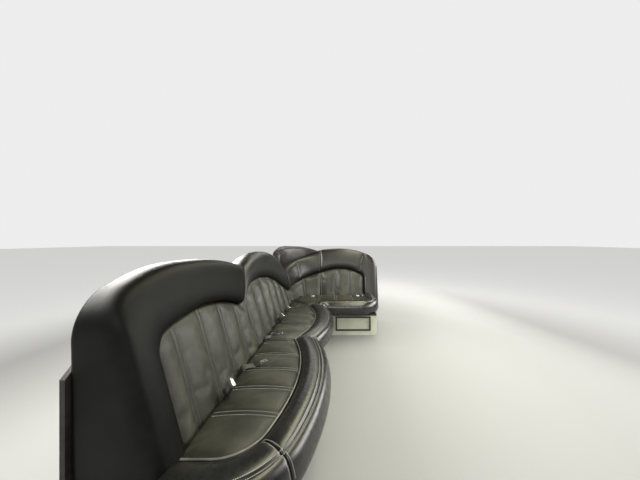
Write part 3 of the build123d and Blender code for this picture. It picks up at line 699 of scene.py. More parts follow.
@dataclass
class Pad:
    """A closed leather-covered pad, from its points to a piece that takes the place of a CAD node.

    Points, cloth places, seam shares and held shares may be given by row and column.
    """

    name: str
    node: str
    slot: Slot
    points: np.ndarray
    faces: list[Face]
    cloth_map: np.ndarray
    seam: np.ndarray
    held: np.ndarray
    stitched: list[list[int]] = field(default_factory=list)
    cap: float = 0.006
    slack: float = 0.006
    frames: int = 20

    def __post_init__(self) -> None:
        """Flatten what was given by row and column."""
        self.points = self.points.reshape(-1, 3)
        self.cloth_map = self.cloth_map.reshape(-1, 2)
        self.seam = self.seam.ravel()
        self.held = self.held.ravel()

    def build(self, finish: Finish, seams: list[np.ndarray]) -> None:
        """Make the object, let it swell, smooth it and tie it to the frame.

        Args:
            finish: Leather that covers it.
            seams: Takes the lines along which it is stitched.
        """
        mesh = bpy.data.meshes.new(self.name)
        mesh.from_pydata(self.points.tolist(), [], self.faces)
        piece = new_piece(self.name, mesh)
        face_outwards(mesh)
        lay_cloth(mesh, self.cloth_map)
        seam = mesh.attributes.new("seam", "FLOAT", "POINT")
        seam.data.foreach_set("value", self.seam.astype(np.float32))
        self._swell(piece)
        mesh.shade_smooth()
        mesh.materials.append(finish.material)
        smooth = piece.modifiers.new("smooth", "SUBSURF")
        smooth.levels = smooth.render_levels = 1
        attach(piece, BODY)
        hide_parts(self.node)
        if self.stitched:
            points = evaluated_points(piece)
            seams += [points[numbers] for numbers in self.stitched]
        LOG.info("%s: %d points", self.name, len(self.points))

    def _swell(self, piece: bpy.types.Object) -> None:
        """Let the cover swell as cloth under pressure, held at its seams, and keep the result.

        Args:
            piece: Object of the pad.
        """
        group = piece.vertex_groups.new(name="held")
        group.add(np.flatnonzero(self.held).tolist(), 1.0, "REPLACE")
        cloth = piece.modifiers.new("cover", "CLOTH")
        settings = cloth.settings
        settings.quality = 4
        settings.mass = 0.4
        settings.tension_stiffness = settings.compression_stiffness = 20
        settings.bending_stiffness = 2
        settings.use_pressure = True
        settings.uniform_pressure_force = 3
        settings.vertex_group_mass = "held"
        settings.shrink_min = -self.slack
        settings.effector_weights.gravity = 0
        cloth.collision_settings.use_collision = False
        cloth.collision_settings.use_self_collision = False
        cloth.point_cache.frame_start = 1
        cloth.point_cache.frame_end = self.frames
        scene = bpy.context.scene
        for number in range(1, self.frames + 1):
            scene.frame_set(number)
        shift = evaluated_points(piece) - self.points
        far = np.maximum(np.linalg.norm(shift, axis=1), 1e-9)
        shift *= (np.minimum(far, self.cap) / far)[:, None]
        LOG.info("%s swells by %.1f mm", self.name, 1000 * np.minimum(far, self.cap).max())
        piece.modifiers.remove(cloth)
        piece.vertex_groups.clear()
        piece.data.vertices.foreach_set("co", (self.points + shift).ravel())
        scene.frame_set(1)


def loft_faces(rows: int, columns: int) -> list[Face]:
    """Faces of a tube of closed sections, with both ends closed.

    Args:
        rows: Number of sections.
        columns: Points in each section.

    Returns:
        Vertex numbers of each face.
    """
    faces: list[Face] = []
    for row in range(rows - 1):
        near, far = row * columns, (row + 1) * columns
        for column in range(columns):
            after = (column + 1) % columns
            faces.append((near + column, near + after, far + after, far + column))
    faces.append(tuple(range(columns)))
    faces.append(tuple(range((rows - 1) * columns, rows * columns)))
    return faces


def cross_stitches(rows: int, columns: int, places: range, start: bool, end: bool) -> list[list[int]]:
    """Vertex numbers of the stitches beside the cross seams of a piece.

    Args:
        rows: Number of its sections.
        columns: Points in each section.
        places: Points of a section that a line of stitches crosses.
        start: Whether it is sewn at its start.
        end: Whether it is sewn at its end.

    Returns:
        One list for each line of stitches.
    """
    chosen = [2] * start + [rows - 3] * end
    return [[row * columns + place for place in places] for row in chosen]


# Shares of the way from a panel's rim to its back
SKIRT = (0.12, 0.5, 1.0)


def slab_mesh(top: np.ndarray, behind: np.ndarray) -> tuple[np.ndarray, list[Face], list[int]]:
    """Close a grid of points with the rings of a skirt and a back.

    Args:
        top: Points of the shown side, by row and column.
        behind: Points behind them.

    Returns:
        All points, the faces, and the rim's vertex numbers.
    """
    rows, columns = top.shape[:2]
    faces: list[Face] = []
    for row in range(rows - 1):
        for column in range(columns - 1):
            first = row * columns + column
            faces.append((first, first + 1, first + columns + 1, first + columns))
    rim = list(range(columns))
    rim += [row * columns + columns - 1 for row in range(1, rows)]
    rim += [(rows - 1) * columns + column for column in range(columns - 2, -1, -1)]
    rim += [row * columns for row in range(rows - 2, 0, -1)]
    points = [top.reshape(-1, 3)]
    edge = points[0][rim]
    back = behind.reshape(-1, 3)[rim]
    last = rim
    total = rows * columns
    for share in SKIRT:
        ring = list(range(total, total + len(rim)))
        points.append(edge + (back - edge) * share)
        total += len(rim)
        for index in range(len(rim)):
            after = (index + 1) % len(rim)
            faces.append((last[index], last[after], ring[after], ring[index]))
        last = ring
    left = [last[-row] for row in range(rows - 1)]
    right = last[columns - 1 :]
    faces.append((*last[:columns], right[1], left[1]))
    for row in range(1, rows - 2):
        faces.append((left[row], right[row], right[row + 1], left[row + 1]))
    faces.append((left[rows - 2], *last[columns + rows - 3 : 2 * columns + rows - 2]))
    return np.concatenate(points), faces, rim


# Channels of the panels


# Share of half the stitch gap from a pair's middle, swell of the channel there
PLEAT = ((0.0, 0.25), (0.55, 0.16), (1.0, -0.35), (1.4, 0.0))
PLEAT_REACH = 2.1
STITCHED_SWELL = PLEAT[2][1]
HELD_SWELL = 0.3
PANEL_SEAM = 0.75


def channel(place: float) -> float:
    """Height of a channel's swell, from 0 to 1, at a fraction of its width."""
    return 1 - abs(2 * place - 1) ** 2.6


def channel_rows(
    start: float, end: float, pairs: Sequence[float], gap: float, pitch: float
) -> tuple[np.ndarray, np.ndarray]:
    """Places of rows along a bench, dense at the paired stitch lines between channels.

    Args:
        start: First place.
        end: Last place.
        pairs: Middles of the stitch pairs.
        gap: Distance between the two lines of a pair.
        pitch: Usual distance between rows.

    Returns:
        The places, and the channel's swell at each.
    """
    half = gap / 2
    reach = half * PLEAT_REACH
    edges = [start, *pairs, end]
    rows: list[Place] = []
    for index in range(len(edges) - 1):
        low, high = edges[index], edges[index + 1]
        first = low + (reach if index else 0.0)
        last = high - (reach if index < len(pairs) else 0.0)
        if index:
            rows += [(low + half * share, swell) for share, swell in PLEAT]
        count = max(2, round((last - first) / pitch))
        places = np.linspace(first, last, count + 1)
        rows += [(place, channel((place - low) / (high - low))) for place in places]
        if index < len(pairs):
            rows += [(high - half * share, swell) for share, swell in reversed(PLEAT[1:])]
    table = np.array(rows)
    return table[:, 0], table[:, 1]


def spread(count: int) -> np.ndarray:
    """Fractions from 0 to 1 that lie a little closer at both ends."""
    return 0.45 * (0.5 - 0.5 * np.cos(np.linspace(0, math.pi, count))) + 0.55 * np.linspace(0, 1, count)


def rolled(edge: np.ndarray, radius: float) -> np.ndarray:
    """Share of full height at a distance from an edge that rolls over a radius."""
    return np.sqrt(1 - (1 - np.clip(edge / radius, 0, 1)) ** 2)


def panel_pad(
    name: str,
    node: str,
    top: np.ndarray,
    behind: np.ndarray,
    cloth_map: np.ndarray,
    edge: np.ndarray,
    swells: np.ndarray,
    fade: float,
    cap: float,
) -> Pad:
    """Close a channelled panel behind and mark where it is sewn and held.

    Args:
        name: Name of the piece.
        node: CAD node that it takes the place of.
        top: Points of the shown side, by row and column.
        behind: Points behind them.
        cloth_map: Places on the flat cloth.
        edge: Distance of each point from the panel's sewn edge.
        swells: Swell of the channel at each row.
        fade: Distance over which the creases of the edge fade.
        cap: Largest swelling of the cloth.

    Returns:
        The pad.
    """
    points, faces, rim = slab_mesh(top, behind)
    skirt = np.tile(rim, len(SKIRT))
    cloth = cloth_map.reshape(-1, 2)
    sewn = swells < HELD_SWELL
    seam = np.maximum(np.exp(-edge / fade), PANEL_SEAM * sewn[:, None]).ravel()
    held = np.zeros(edge.shape)
    held[sewn] = 1
    held[:, [0, -1]] = 1
    held[[0, -1]] = 1
    columns = top.shape[1]
    stitched = np.flatnonzero(swells == STITCHED_SWELL)[:, None] * columns + np.arange(2, columns - 2)
    return Pad(
        name,
        node,
        Slot.PANEL,
        points,
        faces,
        np.concatenate([cloth, cloth[skirt]]),
        np.concatenate([seam, seam[skirt]]),
        np.concatenate([held.ravel(), np.ones(len(skirt))]),
        stitched.tolist(),
        cap=cap,
    )


# Seat border


# Section of the roll: distance out from the welt line, height above the seat board
ROLL_SECTION = np.array(
    [
        (0.0, 0.094), (0.002, 0.103), (0.008, 0.113), (0.018, 0.1225), (0.034, 0.1305), (0.056, 0.1345),
        (0.078, 0.1345), (0.094, 0.1315), (0.102, 0.128), (0.1055, 0.1245), (0.108, 0.1195),
        (0.1105, 0.1245), (0.114, 0.1275), (0.123, 0.1255), (0.134, 0.118), (0.1445, 0.105),
        (0.153, 0.087), (0.158, 0.067), (0.159, 0.047), (0.155, 0.029), (0.146, 0.014),
        (0.133, 0.004), (0.115, 0.0), (0.06, 0.0), (0.0, 0.0), (0.0, 0.035), (0.0, 0.07),
    ]
)
# Numbers of points in that section
CROWN = 6
FRONT_SEAM = 10
FRONT_STITCHES = (8, 12)
CROSS_STITCHES = range(1, 18)
UNDERSIDE = 21
WELT = 0
HALF_ROLL = 0.08


@dataclass
class Bend:
    """A turn of the border about an upright axis, from one angle or cutting plane to another."""

    centre: Place
    welt: float
    start: float
    end: float
    side: int = 1
    start_y: float | None = None
    end_y: float | None = None

    def length(self) -> float:
        """Length along the middle of the border.

        Returns:
            Metres.
        """
        radius = self.welt + self.side * HALF_ROLL
        first, last = self._angles(np.array([radius]))
        return float(abs(last[0] - first[0]) * radius)

    def _angles(self, radius: np.ndarray) -> tuple[np.ndarray, np.ndarray]:
        """First and last angle at each radius.

        Args:
            radius: Distances from the axis.

        Returns:
            Angles of the start and of the end, in radians.
        """
        ends = []
        for angle, y in ((self.start, self.start_y), (self.end, self.end_y)):
            fixed = np.full_like(radius, math.radians(angle))
            ends.append(fixed if y is None else np.arcsin((y - self.centre[1]) / radius))
        return ends[0], ends[1]

    def points(self, section: np.ndarray, fractions: np.ndarray, floor: float) -> np.ndarray:
        """Sections along the turn.

        Args:
            section: Places out from the welt line and up from the floor of the section.
            fractions: Fractions along the turn.
            floor: Height on which the section stands.

        Returns:
            Points by fraction and by place in the section.
        """
        radius = self.welt + self.side * section[:, 0]
        first, last = self._angles(radius)
        angle = first + (last - first) * fractions[:, None]
        x = self.centre[0] + radius * np.cos(angle)
        y = self.centre[1] + radius * np.sin(angle)
        z = np.broadcast_to(section[:, 1] + floor, x.shape)
        return np.stack([x, y, z], axis=2)


@dataclass
class Run:
    """A straight stretch of the border."""

    start: Place
    outward: Place
    along: Place
    distance: float

    def length(self) -> float:
        """Length of the stretch."""
        return self.distance

    def points(self, section: np.ndarray, fractions: np.ndarray, floor: float) -> np.ndarray:
        """Sections along the stretch.

        Args:
            section: Places out from the welt line and up from the floor of the section.
            fractions: Fractions along the stretch.
            floor: Height on which the section stands.

        Returns:
            Points by fraction and by place in the section.
        """
        gone = fractions[:, None] * self.distance
        x = self.start[0] + self.along[0] * gone + self.outward[0] * section[:, 0]
        y = self.start[1] + self.along[1] * gone + self.outward[1] * section[:, 0]
        z = np.broadcast_to(section[:, 1] + floor, x.shape)
        return np.stack([x, y, z], axis=2)


@dataclass
class SeatBorder:
    """Rolled border of the seat: near corner, two lobes, inside corner and rear run."""

    plan: BenchPlan
    step: float = 0.012
    dip: float = 0.006
    pull_fade: float = 0.006
    seam_fade: float = 0.02
    welt_fade: float = 0.012

    def courses(self) -> dict[str, list[Bend | Run]]:
        """Stretches of each sewn piece, in order from the near end.

        Returns:
            Lists by CAD node.
        """
        p = self.plan
        roll = p.roll_width
        outward, across, up = (0, -1), (1, 0), (0, 1)
        near_run = Run((p.crevice_x, p.near_y + roll), outward, across, p.near_corner_c[0] - p.crevice_x)
        rear_run = Run((p.inside_c[0], p.front_y + roll), outward, across, p.open_c[0] - p.inside_c[0])
        open_run = Run((p.seat_end_x - roll, p.open_c[1]), across, up, p.crevice_y - p.open_c[1])
        near_bend = partial(Bend, p.near_corner_c, p.near_corner - roll)
        far_bend = partial(Bend, p.far_c, p.far_r - roll, 0, 0)
        return {
            "seat_bolster_near_end": [near_run, near_bend(-90, p.near_seam)],
            "seat_bolster_near_lobe": [
                near_bend(p.near_seam, p.near_tangent),
                Bend(p.near_c, p.near_r - roll, p.near_tangent, 0, end_y=p.lobe_seam_y),
            ],
            "seat_bolster_far_lobe": [far_bend(start_y=p.lobe_seam_y, end_y=p.corner_seam_y)],
            "rear_seat_bolster": [
                Bend(p.inside_c, p.inside_welt, 180, 90, side=-1),
                rear_run,
                Bend(p.open_c, p.open_corner - roll, -90, 0),
                open_run,
            ],
        }

    def _dipped(self) -> np.ndarray:
        """Section pulled in by the stitching at a sewn end.

        Returns:
            Places of the section's points.
        """
        section = ROLL_SECTION
        normal = normals(np.roll(section, -1, axis=0) - np.roll(section, 1, axis=0))
        outwards = ((section - section.mean(axis=0)) * normal).sum() > 0
        shown = smooth_step(section[:, 1], 0.004, 0.03) * smooth_step(section[:, 0], -0.004, 0.004)
        return section + normal * (-self.dip * shown)[:, None] * (1.0 if outwards else -1.0)

    def sections(self, courses: Sequence[Bend | Run]) -> tuple[np.ndarray, np.ndarray]:
        """Sections of one sewn piece.

        Args:
            courses: Its stretches.

        Returns:
            Points by row and by place in the section, and each row's distance from the start.
        """
        dipped = self._dipped()
        full, low = [], []
        for index, course in enumerate(courses):
            fractions = spaced(course.length(), self.step, index == 0, index == len(courses) - 1)
            fractions = fractions[1:] if index else fractions
            full.append(course.points(ROLL_SECTION, fractions, self.plan.board_top))
            low.append(course.points(dipped, fractions, self.plan.board_top))
        rows, pulled = np.concatenate(full), np.concatenate(low)
        gone = travelled(rows[:, CROWN])
        pull = np.exp(-to_ends(gone) / self.pull_fade)[:, None, None]
        return rows + (pulled - rows) * pull, gone

    def build(self, seams: list[np.ndarray]) -> None:
        """Make the sewn pieces.

        Args:
            seams: Takes the lines along which they are stitched.
        """
        around = travelled(ROLL_SECTION)
        to_seam = np.minimum(np.abs(around - around[FRONT_SEAM]), around - around[WELT])
        for node, courses in self.courses().items():
            rows, gone = self.sections(courses)
            creased = np.exp(-to_seam / self.welt_fade) * 0.8
            held = np.zeros(rows.shape[:2])
            held[:, [WELT, FRONT_SEAM]] = 1
            held[:, UNDERSIDE:] = 1
            held[[0, -1]] = 1
            place = "rear" if "rear" in node else node.removeprefix("seat_bolster_")
            Pad(
                f"seat_border_{place}",
                node,
                Slot.LEATHER,
                rows,
                loft_faces(*rows.shape[:2]),
                np.stack(np.broadcast_arrays(gone[:, None], around), axis=2),
                np.maximum(np.exp(-to_ends(gone)[:, None] / self.seam_fade), creased),
                held,
                self._stitched(len(rows), node),
                cap=0.003,
                slack=0.002,
            ).build(Finish.SEAT_BORDER, seams)

    @staticmethod
    def _stitched(rows: int, node: str) -> list[list[int]]:
        """Vertex numbers of the stitches beside the front seam and beside the cross seams.

        Args:
            rows: Number of sections of the piece.
            node: CAD node of the piece.

        Returns:
            One list for each line of stitches.
        """
        columns = len(ROLL_SECTION)
        start, end = node != "seat_bolster_near_end", node != "rear_seat_bolster"
        lines = [[row * columns + place for row in range(1, rows - 1)] for place in FRONT_STITCHES]
        return lines + cross_stitches(rows, columns, CROSS_STITCHES, start, end)


# Channelled seat panels


@dataclass
class SeatPanels:
    """Channelled middle of the seat on both benches, mitred at the corner."""

    plan: BenchPlan
    columns: int = 34
    pitch: float = 0.0125
    crown: float = 0.008
    puff: float = 0.006
    sink: float = 0.016
    edge_roll: float = 0.032
    edge_fade: float = 0.06
    tuck: float = 0.012
    welt_gap: float = 0.0005
    rounding_turn: float = 1.4
    rounding_rows: int = 4
    row_gap: float = 0.002
    mitre_gap: float = 0.0001
    mitre_swell: float = 0.05
    side_turn_rows: int = 17
    rear_turn_rows: int = 26

    def welt_x(self, y: float) -> float:
        """Place of the side bench's welt line.

        Args:
            y: Place along the bench.

        Returns:
            Distance across the bench.
        """
        p = self.plan
        corner_radius = p.near_corner - p.roll_width
        if y < p.near_corner_c[1] + corner_radius * math.sin(math.radians(p.near_tangent)):
            centre, radius = p.near_corner_c, corner_radius
        elif y < p.lobe_seam_y:
            centre, radius = p.near_c, p.near_r - p.roll_width
        else:
            centre, radius = p.far_c, p.far_r - p.roll_width
        return centre[0] + math.sqrt(max(radius**2 - (y - centre[1]) ** 2, 0))

    def welt_y(self, x: float) -> float:
        """Place of the rear bench's welt line.

        Args:
            x: Place across the bench.

        Returns:
            Distance along the bench.
        """
        p = self.plan
        if x < p.inside_c[0]:
            return p.inside_c[1] + math.sqrt(max(p.inside_welt**2 - (x - p.inside_c[0]) ** 2, 0))
        if x > p.open_c[0]:
            radius = p.open_corner - p.roll_width
            return p.open_c[1] - math.sqrt(max(radius**2 - (x - p.open_c[0]) ** 2, 0))
        return p.front_y + p.roll_width

    def side_rows(self) -> np.ndarray:
        """Rows of the side bench, from the near end to the mitre.

        Returns:
            For each row its crevice end, its welt end and its swell.
        """
        p = self.plan
        count = int((p.corner_seam_y - p.near_y - p.seat_first) / p.seat_pitch) + 1
        pairs = [p.near_y + p.seat_first + index * p.seat_pitch for index in range(count)]
        turn_y = pairs[-1] + p.stitch_gap
        start_y = p.near_y + p.roll_width + self.welt_gap
        turns = np.linspace(0, self.rounding_turn, self.rounding_rows + 1)[:-1]
        rounding = [start_y + self.tuck * (1 - math.cos(turn)) for turn in turns]
        rows = [(p.crevice_x, y, self.welt_x(y), y, 0.0) for y in rounding]
        for y, swell in zip(*channel_rows(start_y, p.corner_seam_y, pairs, p.stitch_gap, self.pitch)):
            if rounding[-1] + self.row_gap < y <= turn_y:
                rows.append((p.crevice_x, y, self.welt_x(y), y, swell))
        for share in np.linspace(0, 1, self.side_turn_rows)[1:]:
            welt_y = turn_y + (p.corner_seam_y - turn_y) * share
            crevice_y = turn_y + (p.back_corner[1] - turn_y) * share
            rows.append((p.crevice_x, crevice_y, self.welt_x(welt_y), welt_y, channel(share)))
        return np.array(rows)

    def rear_rows(self) -> np.ndarray:
        """Rows of the rear bench, from the mitre round the corner to the open end.

        Returns:
            For each row its crevice end, its welt end and its swell.
        """
        p = self.plan
        end_x = p.seat_end_x - p.roll_width - self.welt_gap
        count = int((p.open_x - p.rear_first - p.back_corner[0]) / p.rear_pitch) + 1
        pairs = [p.open_x - p.rear_first - index * p.rear_pitch for index in reversed(range(count))]
        start_x = pairs[0] - p.stitch_gap
        welt_turn = math.degrees(math.acos((start_x - p.inside_c[0]) / p.inside_welt))
        rows = []
        for share in np.linspace(0, 1, self.rear_turn_rows)[:-1]:
            welt = on_circle(p.inside_c, p.inside_welt, math.radians(180 + (welt_turn - 180) * share))
            crevice = on_circle(p.back_corner, p.corner_radius, math.radians(180 - 90 * share))
            rows.append((*crevice, *welt, channel(share)))
        places, swells = channel_rows(start_x, end_x, pairs, p.stitch_gap, self.pitch)
        swells[places < start_x + self.mitre_gap] = self.mitre_swell
        rows += [(x, p.crevice_y, x, self.welt_y(x), swell) for x, swell in zip(places, swells)]
        return np.array(rows)

    def _pad(self, name: str, node: str, rows: np.ndarray) -> Pad:
        """Make a panel's pad.

        Args:
            name: Name of the piece.
            node: CAD node that it takes the place of.
            rows: Ends and swell of each row.

        Returns:
            The pad.
        """
        p = self.plan
        crevice, welt, swell = rows[:, :2], rows[:, 2:4], rows[:, 4]
        across = spread(self.columns)
        spot = crevice[:, None] + (welt - crevice)[:, None] * across[None, :, None]
        reach = np.linalg.norm(welt - crevice, axis=1)[:, None]
        gone = travelled(spot[:, self.columns // 2])[:, None]
        to_row_end = to_ends(gone)
        edge = np.minimum(np.minimum((1 - across) * reach, to_row_end), across * reach + self.tuck)
        roll = rolled(edge, self.edge_roll)
        fullness = smooth_step(edge, 0.0, self.edge_fade)
        height = p.seat_top - self.sink + self.sink * roll
        height = height + self.crown * np.sin(math.pi * across)[None, :] * fullness
        height = height + self.puff * swell[:, None] * (0.35 * roll + 0.65 * fullness)
        top = np.concatenate([spot, height[:, :, None]], axis=2)
        under = np.concatenate([spot, np.full_like(height, p.board_top)[:, :, None]], axis=2)
        cloth_map = np.stack(np.broadcast_arrays(gone, across * reach), axis=2)
        return panel_pad(name, node, top, under, cloth_map, edge, swell, fade=0.018, cap=0.005)

    def build(self, seams: list[np.ndarray]) -> None:
        """Make both panels.

        Args:
            seams: Takes the lines along which they are stitched.
        """
        self._pad("seat_panel_side", "side_seat_insert", self.side_rows()).build(Finish.PANEL, seams)
        self._pad("seat_panel_rear", "rear_seat_insert", self.rear_rows()).build(Finish.PANEL, seams)


# Backrest


@dataclass
class BackMap:
    """Maps the unrolled backrest to the bench.

    A place is the distance along the crevice from the start of the turned corner, the distance up
    the slope and the distance out of the leaning face.
    """

    plan: BenchPlan
    corner_depth: float = 0.192

    def __post_init__(self) -> None:
        """Work out the corner's length along the crevice."""
        self.turn = self.plan.corner_radius * math.pi / 2
        self.slope_sin = math.sin(math.radians(self.plan.lean))
        self.slope_cos = math.cos(math.radians(self.plan.lean))

    def side(self, y: float) -> float:
        """Place along the crevice for a place along the side bench."""
        return y - self.plan.back_corner[1]

    def rear(self, x: float) -> float:
        """Place along the crevice for a place along the rear bench."""
        return self.turn + x - self.plan.back_corner[0]

    def up(self, height: float | np.ndarray) -> float | np.ndarray:
        """Distance up the slope for a height above the floor."""
        return (height - self.plan.board_top) / self.slope_cos

    def place(self, along: np.ndarray, up: np.ndarray, out: np.ndarray) -> np.ndarray:
        """Points of the bench for places of the unrolled backrest.

        Args:
            along: Distances along the crevice.
            up: Distances up the slope.
            out: Distances out of the leaning face.

        Returns:
            Points with coordinates on the last axis.
        """
        p = self.plan
        along, up, out = np.broadcast_arrays(along, up, out)
        back = up * self.slope_sin - out * self.slope_cos
        return self._bent(along, back, p.board_top + up * self.slope_cos + out * self.slope_sin)

    def _bent(self, along: np.ndarray, back: np.ndarray, height: np.ndarray) -> np.ndarray:
        """Points behind the crevice.

        Args:
            along: Distances along the crevice.
            back: Distances behind it.
            height: Heights above the floor.

        Returns:
            Points with coordinates on the last axis.
        """
        p = self.plan
        angle = math.pi - np.clip(along, 0, self.turn) / p.corner_radius
        radius = p.corner_radius + back
        x = p.back_corner[0] + radius * np.cos(angle) + np.maximum(along - self.turn, 0)
        y = p.back_corner[1] + radius * np.sin(angle) + np.minimum(along, 0)
        return np.stack([x, y, height], axis=-1)

    def _depth(self, along: np.ndarray) -> np.ndarray:
        """Distance from the crevice to the wall boards, or to the corner's back.

        Args:
            along: Distances along the crevice.

        Returns:
            The distance at each.
        """
        depth = self.plan.back_depth - self.plan.ply - 0.001
        inside = (along > 0.0005) & (along < self.turn - 0.0005)
        return np.where(inside, self.corner_depth, depth)

    def behind(self, along: np.ndarray, height: np.ndarray) -> np.ndarray:
        """Points on the wall boards, or on the corner's back, at a height."""
        return self._bent(along, self._depth(along), height)

    def square_behind(self, along: np.ndarray, up: np.ndarray, out: float) -> np.ndarray:
        """Points reached by going back square to the leaning face.

        Args:
            along: Distances along the crevice.
            up: Distances up the slope.
            out: Distance out of the leaning face at the start.

        Returns:
            Points on the wall boards or on the corner's back.
        """
        height = self.plan.board_top + up * self.slope_cos + out * self.slope_sin
        gone = self._depth(along) - (up * self.slope_sin - out * self.slope_cos)
        height = height - np.maximum(gone, 0) * self.slope_sin / self.slope_cos
        return self.behind(along, np.maximum(height, self.plan.board_top + 0.003))


@dataclass(frozen=True)
class Stretch:
    """Part of a backrest border between matching places of its inner and outer edge."""

    inner: tuple[Place, ...]
    outer: tuple[Place, ...]


# Front of the border: share of the way from its inner to its outer edge, distance out
BAND_FRONT = (
    (0.0, -0.014), (0.0, 0.002), (0.008, 0.014), (0.03, 0.024), (0.075, 0.031), (0.16, 0.036),
    (0.3, 0.039), (0.46, 0.04), (0.62, 0.039), (0.74, 0.0365), (0.83, 0.033), (0.895, 0.0265),
    (0.945, 0.0165), (0.98, 0.002), (1.0, -0.018), (1.0, -0.034),
)
BAND_STITCHES = range(2, len(BAND_FRONT) + 2)
# Share of the way back over the top, share of the swell there
BACK_RINGS = ((0.3, 0.35), (0.65, 0.6), (0.92, 0.3))


@dataclass
class BackBorder:
    """Padded border of the backrest, in sewn lengths from the near end to the open end."""

    plan: BenchPlan
    back_map: BackMap
    step: float = 0.013
    dip: float = 0.009
    pull_fade: float = 0.007
    seam_fade: float = 0.018
    edge_fade: float = 0.02
    back_swell: float = 0.006
    floor_gap: float = 0.003
    foot: float = 0.2
    edge_points: int = 40

    def stretches(self) -> dict[str, list[Stretch]]:
        """Edges of each sewn length.

        Returns:
            For each CAD node its parts, with places along the crevice and heights.
        """
        turn = self.back_map.turn
        floor = self.plan.board_top + self.floor_gap
        near, post = -1.2225, -1.1075
        open_end, end_post = self.plan.open_x, 0.455
        side = partial(self._edge, self.back_map.side)
        rear = partial(self._edge, self.back_map.rear)
        seam = side((-0.4225, 0.682), (-0.2825, 0.905))
        mitre = rear((0.39, 0.662), (0.475, 0.905))
        inner_start, outer_start = ((0.0, 0.515),), ((0.0, 0.742),)
        inner_turned, outer_turned = ((turn, 0.672),), ((turn, 0.948),)
        return {
            "side_back_bolster_near": [
                Stretch(side((post, floor), (post, 0.66)), side((near, floor), (near, 0.8))),
                Stretch(
                    side((post, 0.66), (-1.087, 0.725), (-1.0225, 0.755)),
                    side((near, 0.8), (-1.203, 0.885), (-1.145, 0.937)),
                ),
                Stretch(
                    side((-1.0225, 0.755), (-0.9, 0.7745), (-0.7925, 0.777)),
                    side((-1.145, 0.937), (-1.02, 0.975), (-0.8725, 0.987)),
                ),
                Stretch(
                    side((-0.7925, 0.777), (-0.6, 0.746)) + seam[:1],
                    side((-0.8725, 0.987), (-0.6, 0.97)) + seam[1:],
                ),
            ],
            "side_back_bolster_far": [
                Stretch(
                    seam[:1] + side((-0.3125, 0.742), (-0.2025, 0.772)),
                    seam[1:] + side((-0.165, 0.944), (-0.0425, 0.966)),
                ),
                Stretch(
                    side((-0.2025, 0.772), (-0.0475, 0.786), (0.1075, 0.772)),
                    side((-0.0425, 0.966), (0.07, 0.976), (0.1975, 0.975)),
                ),
                Stretch(
                    side((0.1075, 0.772), (0.2775, 0.737), (0.4275, 0.676)),
                    side((0.1975, 0.975), (0.3775, 0.957), (0.5275, 0.915)),
                ),
                Stretch(
                    side((0.4275, 0.676), (0.6075, 0.59)) + inner_start,
                    side((0.5275, 0.915), (0.665, 0.835)) + outer_start,
                ),
            ],
            "corner_back_bolster": [
                Stretch(
                    inner_start + ((turn / 2, 0.59),) + inner_turned,
                    outer_start + ((turn / 2, 0.842),) + outer_turned,
                )
            ],
            "rear_back_bolster": [
                Stretch(
                    inner_turned + rear((0.03, 0.703), (0.155, 0.715)),
                    outer_turned + rear((0.04, 0.962), (0.165, 0.966)),
                ),
                Stretch(
                    rear((0.155, 0.715), (0.282, 0.7)) + mitre[:1],
                    rear((0.165, 0.966), (0.33, 0.948)) + mitre[1:],
                ),
            ],
            "rear_back_end_post": [
                Stretch(
                    mitre[:1] + rear((0.437, 0.632), (end_post, 0.585)),
                    mitre[1:] + rear((0.575, 0.84), (open_end, 0.72)),
                ),
                Stretch(
                    rear((end_post, 0.585), (end_post, floor)), rear((open_end, 0.72), (open_end, floor))
                ),
            ],
        }

    @staticmethod
    def _edge(along: Callable[[float], float], *places: Place) -> tuple[Place, ...]:
        """Places along the crevice for places along a bench, with their heights."""
        return tuple((along(place), height) for place, height in places)

    def inner_edge(self, nodes: Sequence[str]) -> np.ndarray:
        """Inner edge of some sewn lengths, above the posts' feet.

        Args:
            nodes: CAD nodes of the lengths.

        Returns:
            Places along the crevice and heights.
        """
        lengths = self.stretches()
        fractions = np.linspace(0, 1, self.edge_points)
        stretches = [stretch for node in nodes for stretch in lengths[node]]
        edge = np.concatenate([arc_through(stretch.inner, fractions) for stretch in stretches])
        return edge[edge[:, 1] > self.plan.board_top + self.foot]

    def _edges(self, stretches: Sequence[Stretch]) -> tuple[np.ndarray, np.ndarray]:
        """Matching points of the inner and outer edge.

        Args:
            stretches: Parts of a sewn length.

        Returns:
            Distances along the crevice and up the slope, for both edges.
        """
        edges: tuple[list, list] = ([], [])
        for index, stretch in enumerate(stretches):
            reach = np.linalg.norm(np.subtract(stretch.outer[-1], stretch.outer[0]))
            fractions = spaced(float(reach), self.step, index == 0, index == len(stretches) - 1)
            fractions = fractions[1:] if index else fractions
            for edge, places in zip(edges, (stretch.inner, stretch.outer)):
                edge.append(arc_through(places, fractions))
        inner, outer = np.concatenate(edges[0]), np.concatenate(edges[1])
        inner[:, 1] = self.back_map.up(inner[:, 1])
        outer[:, 1] = self.back_map.up(outer[:, 1])
        return inner, outer

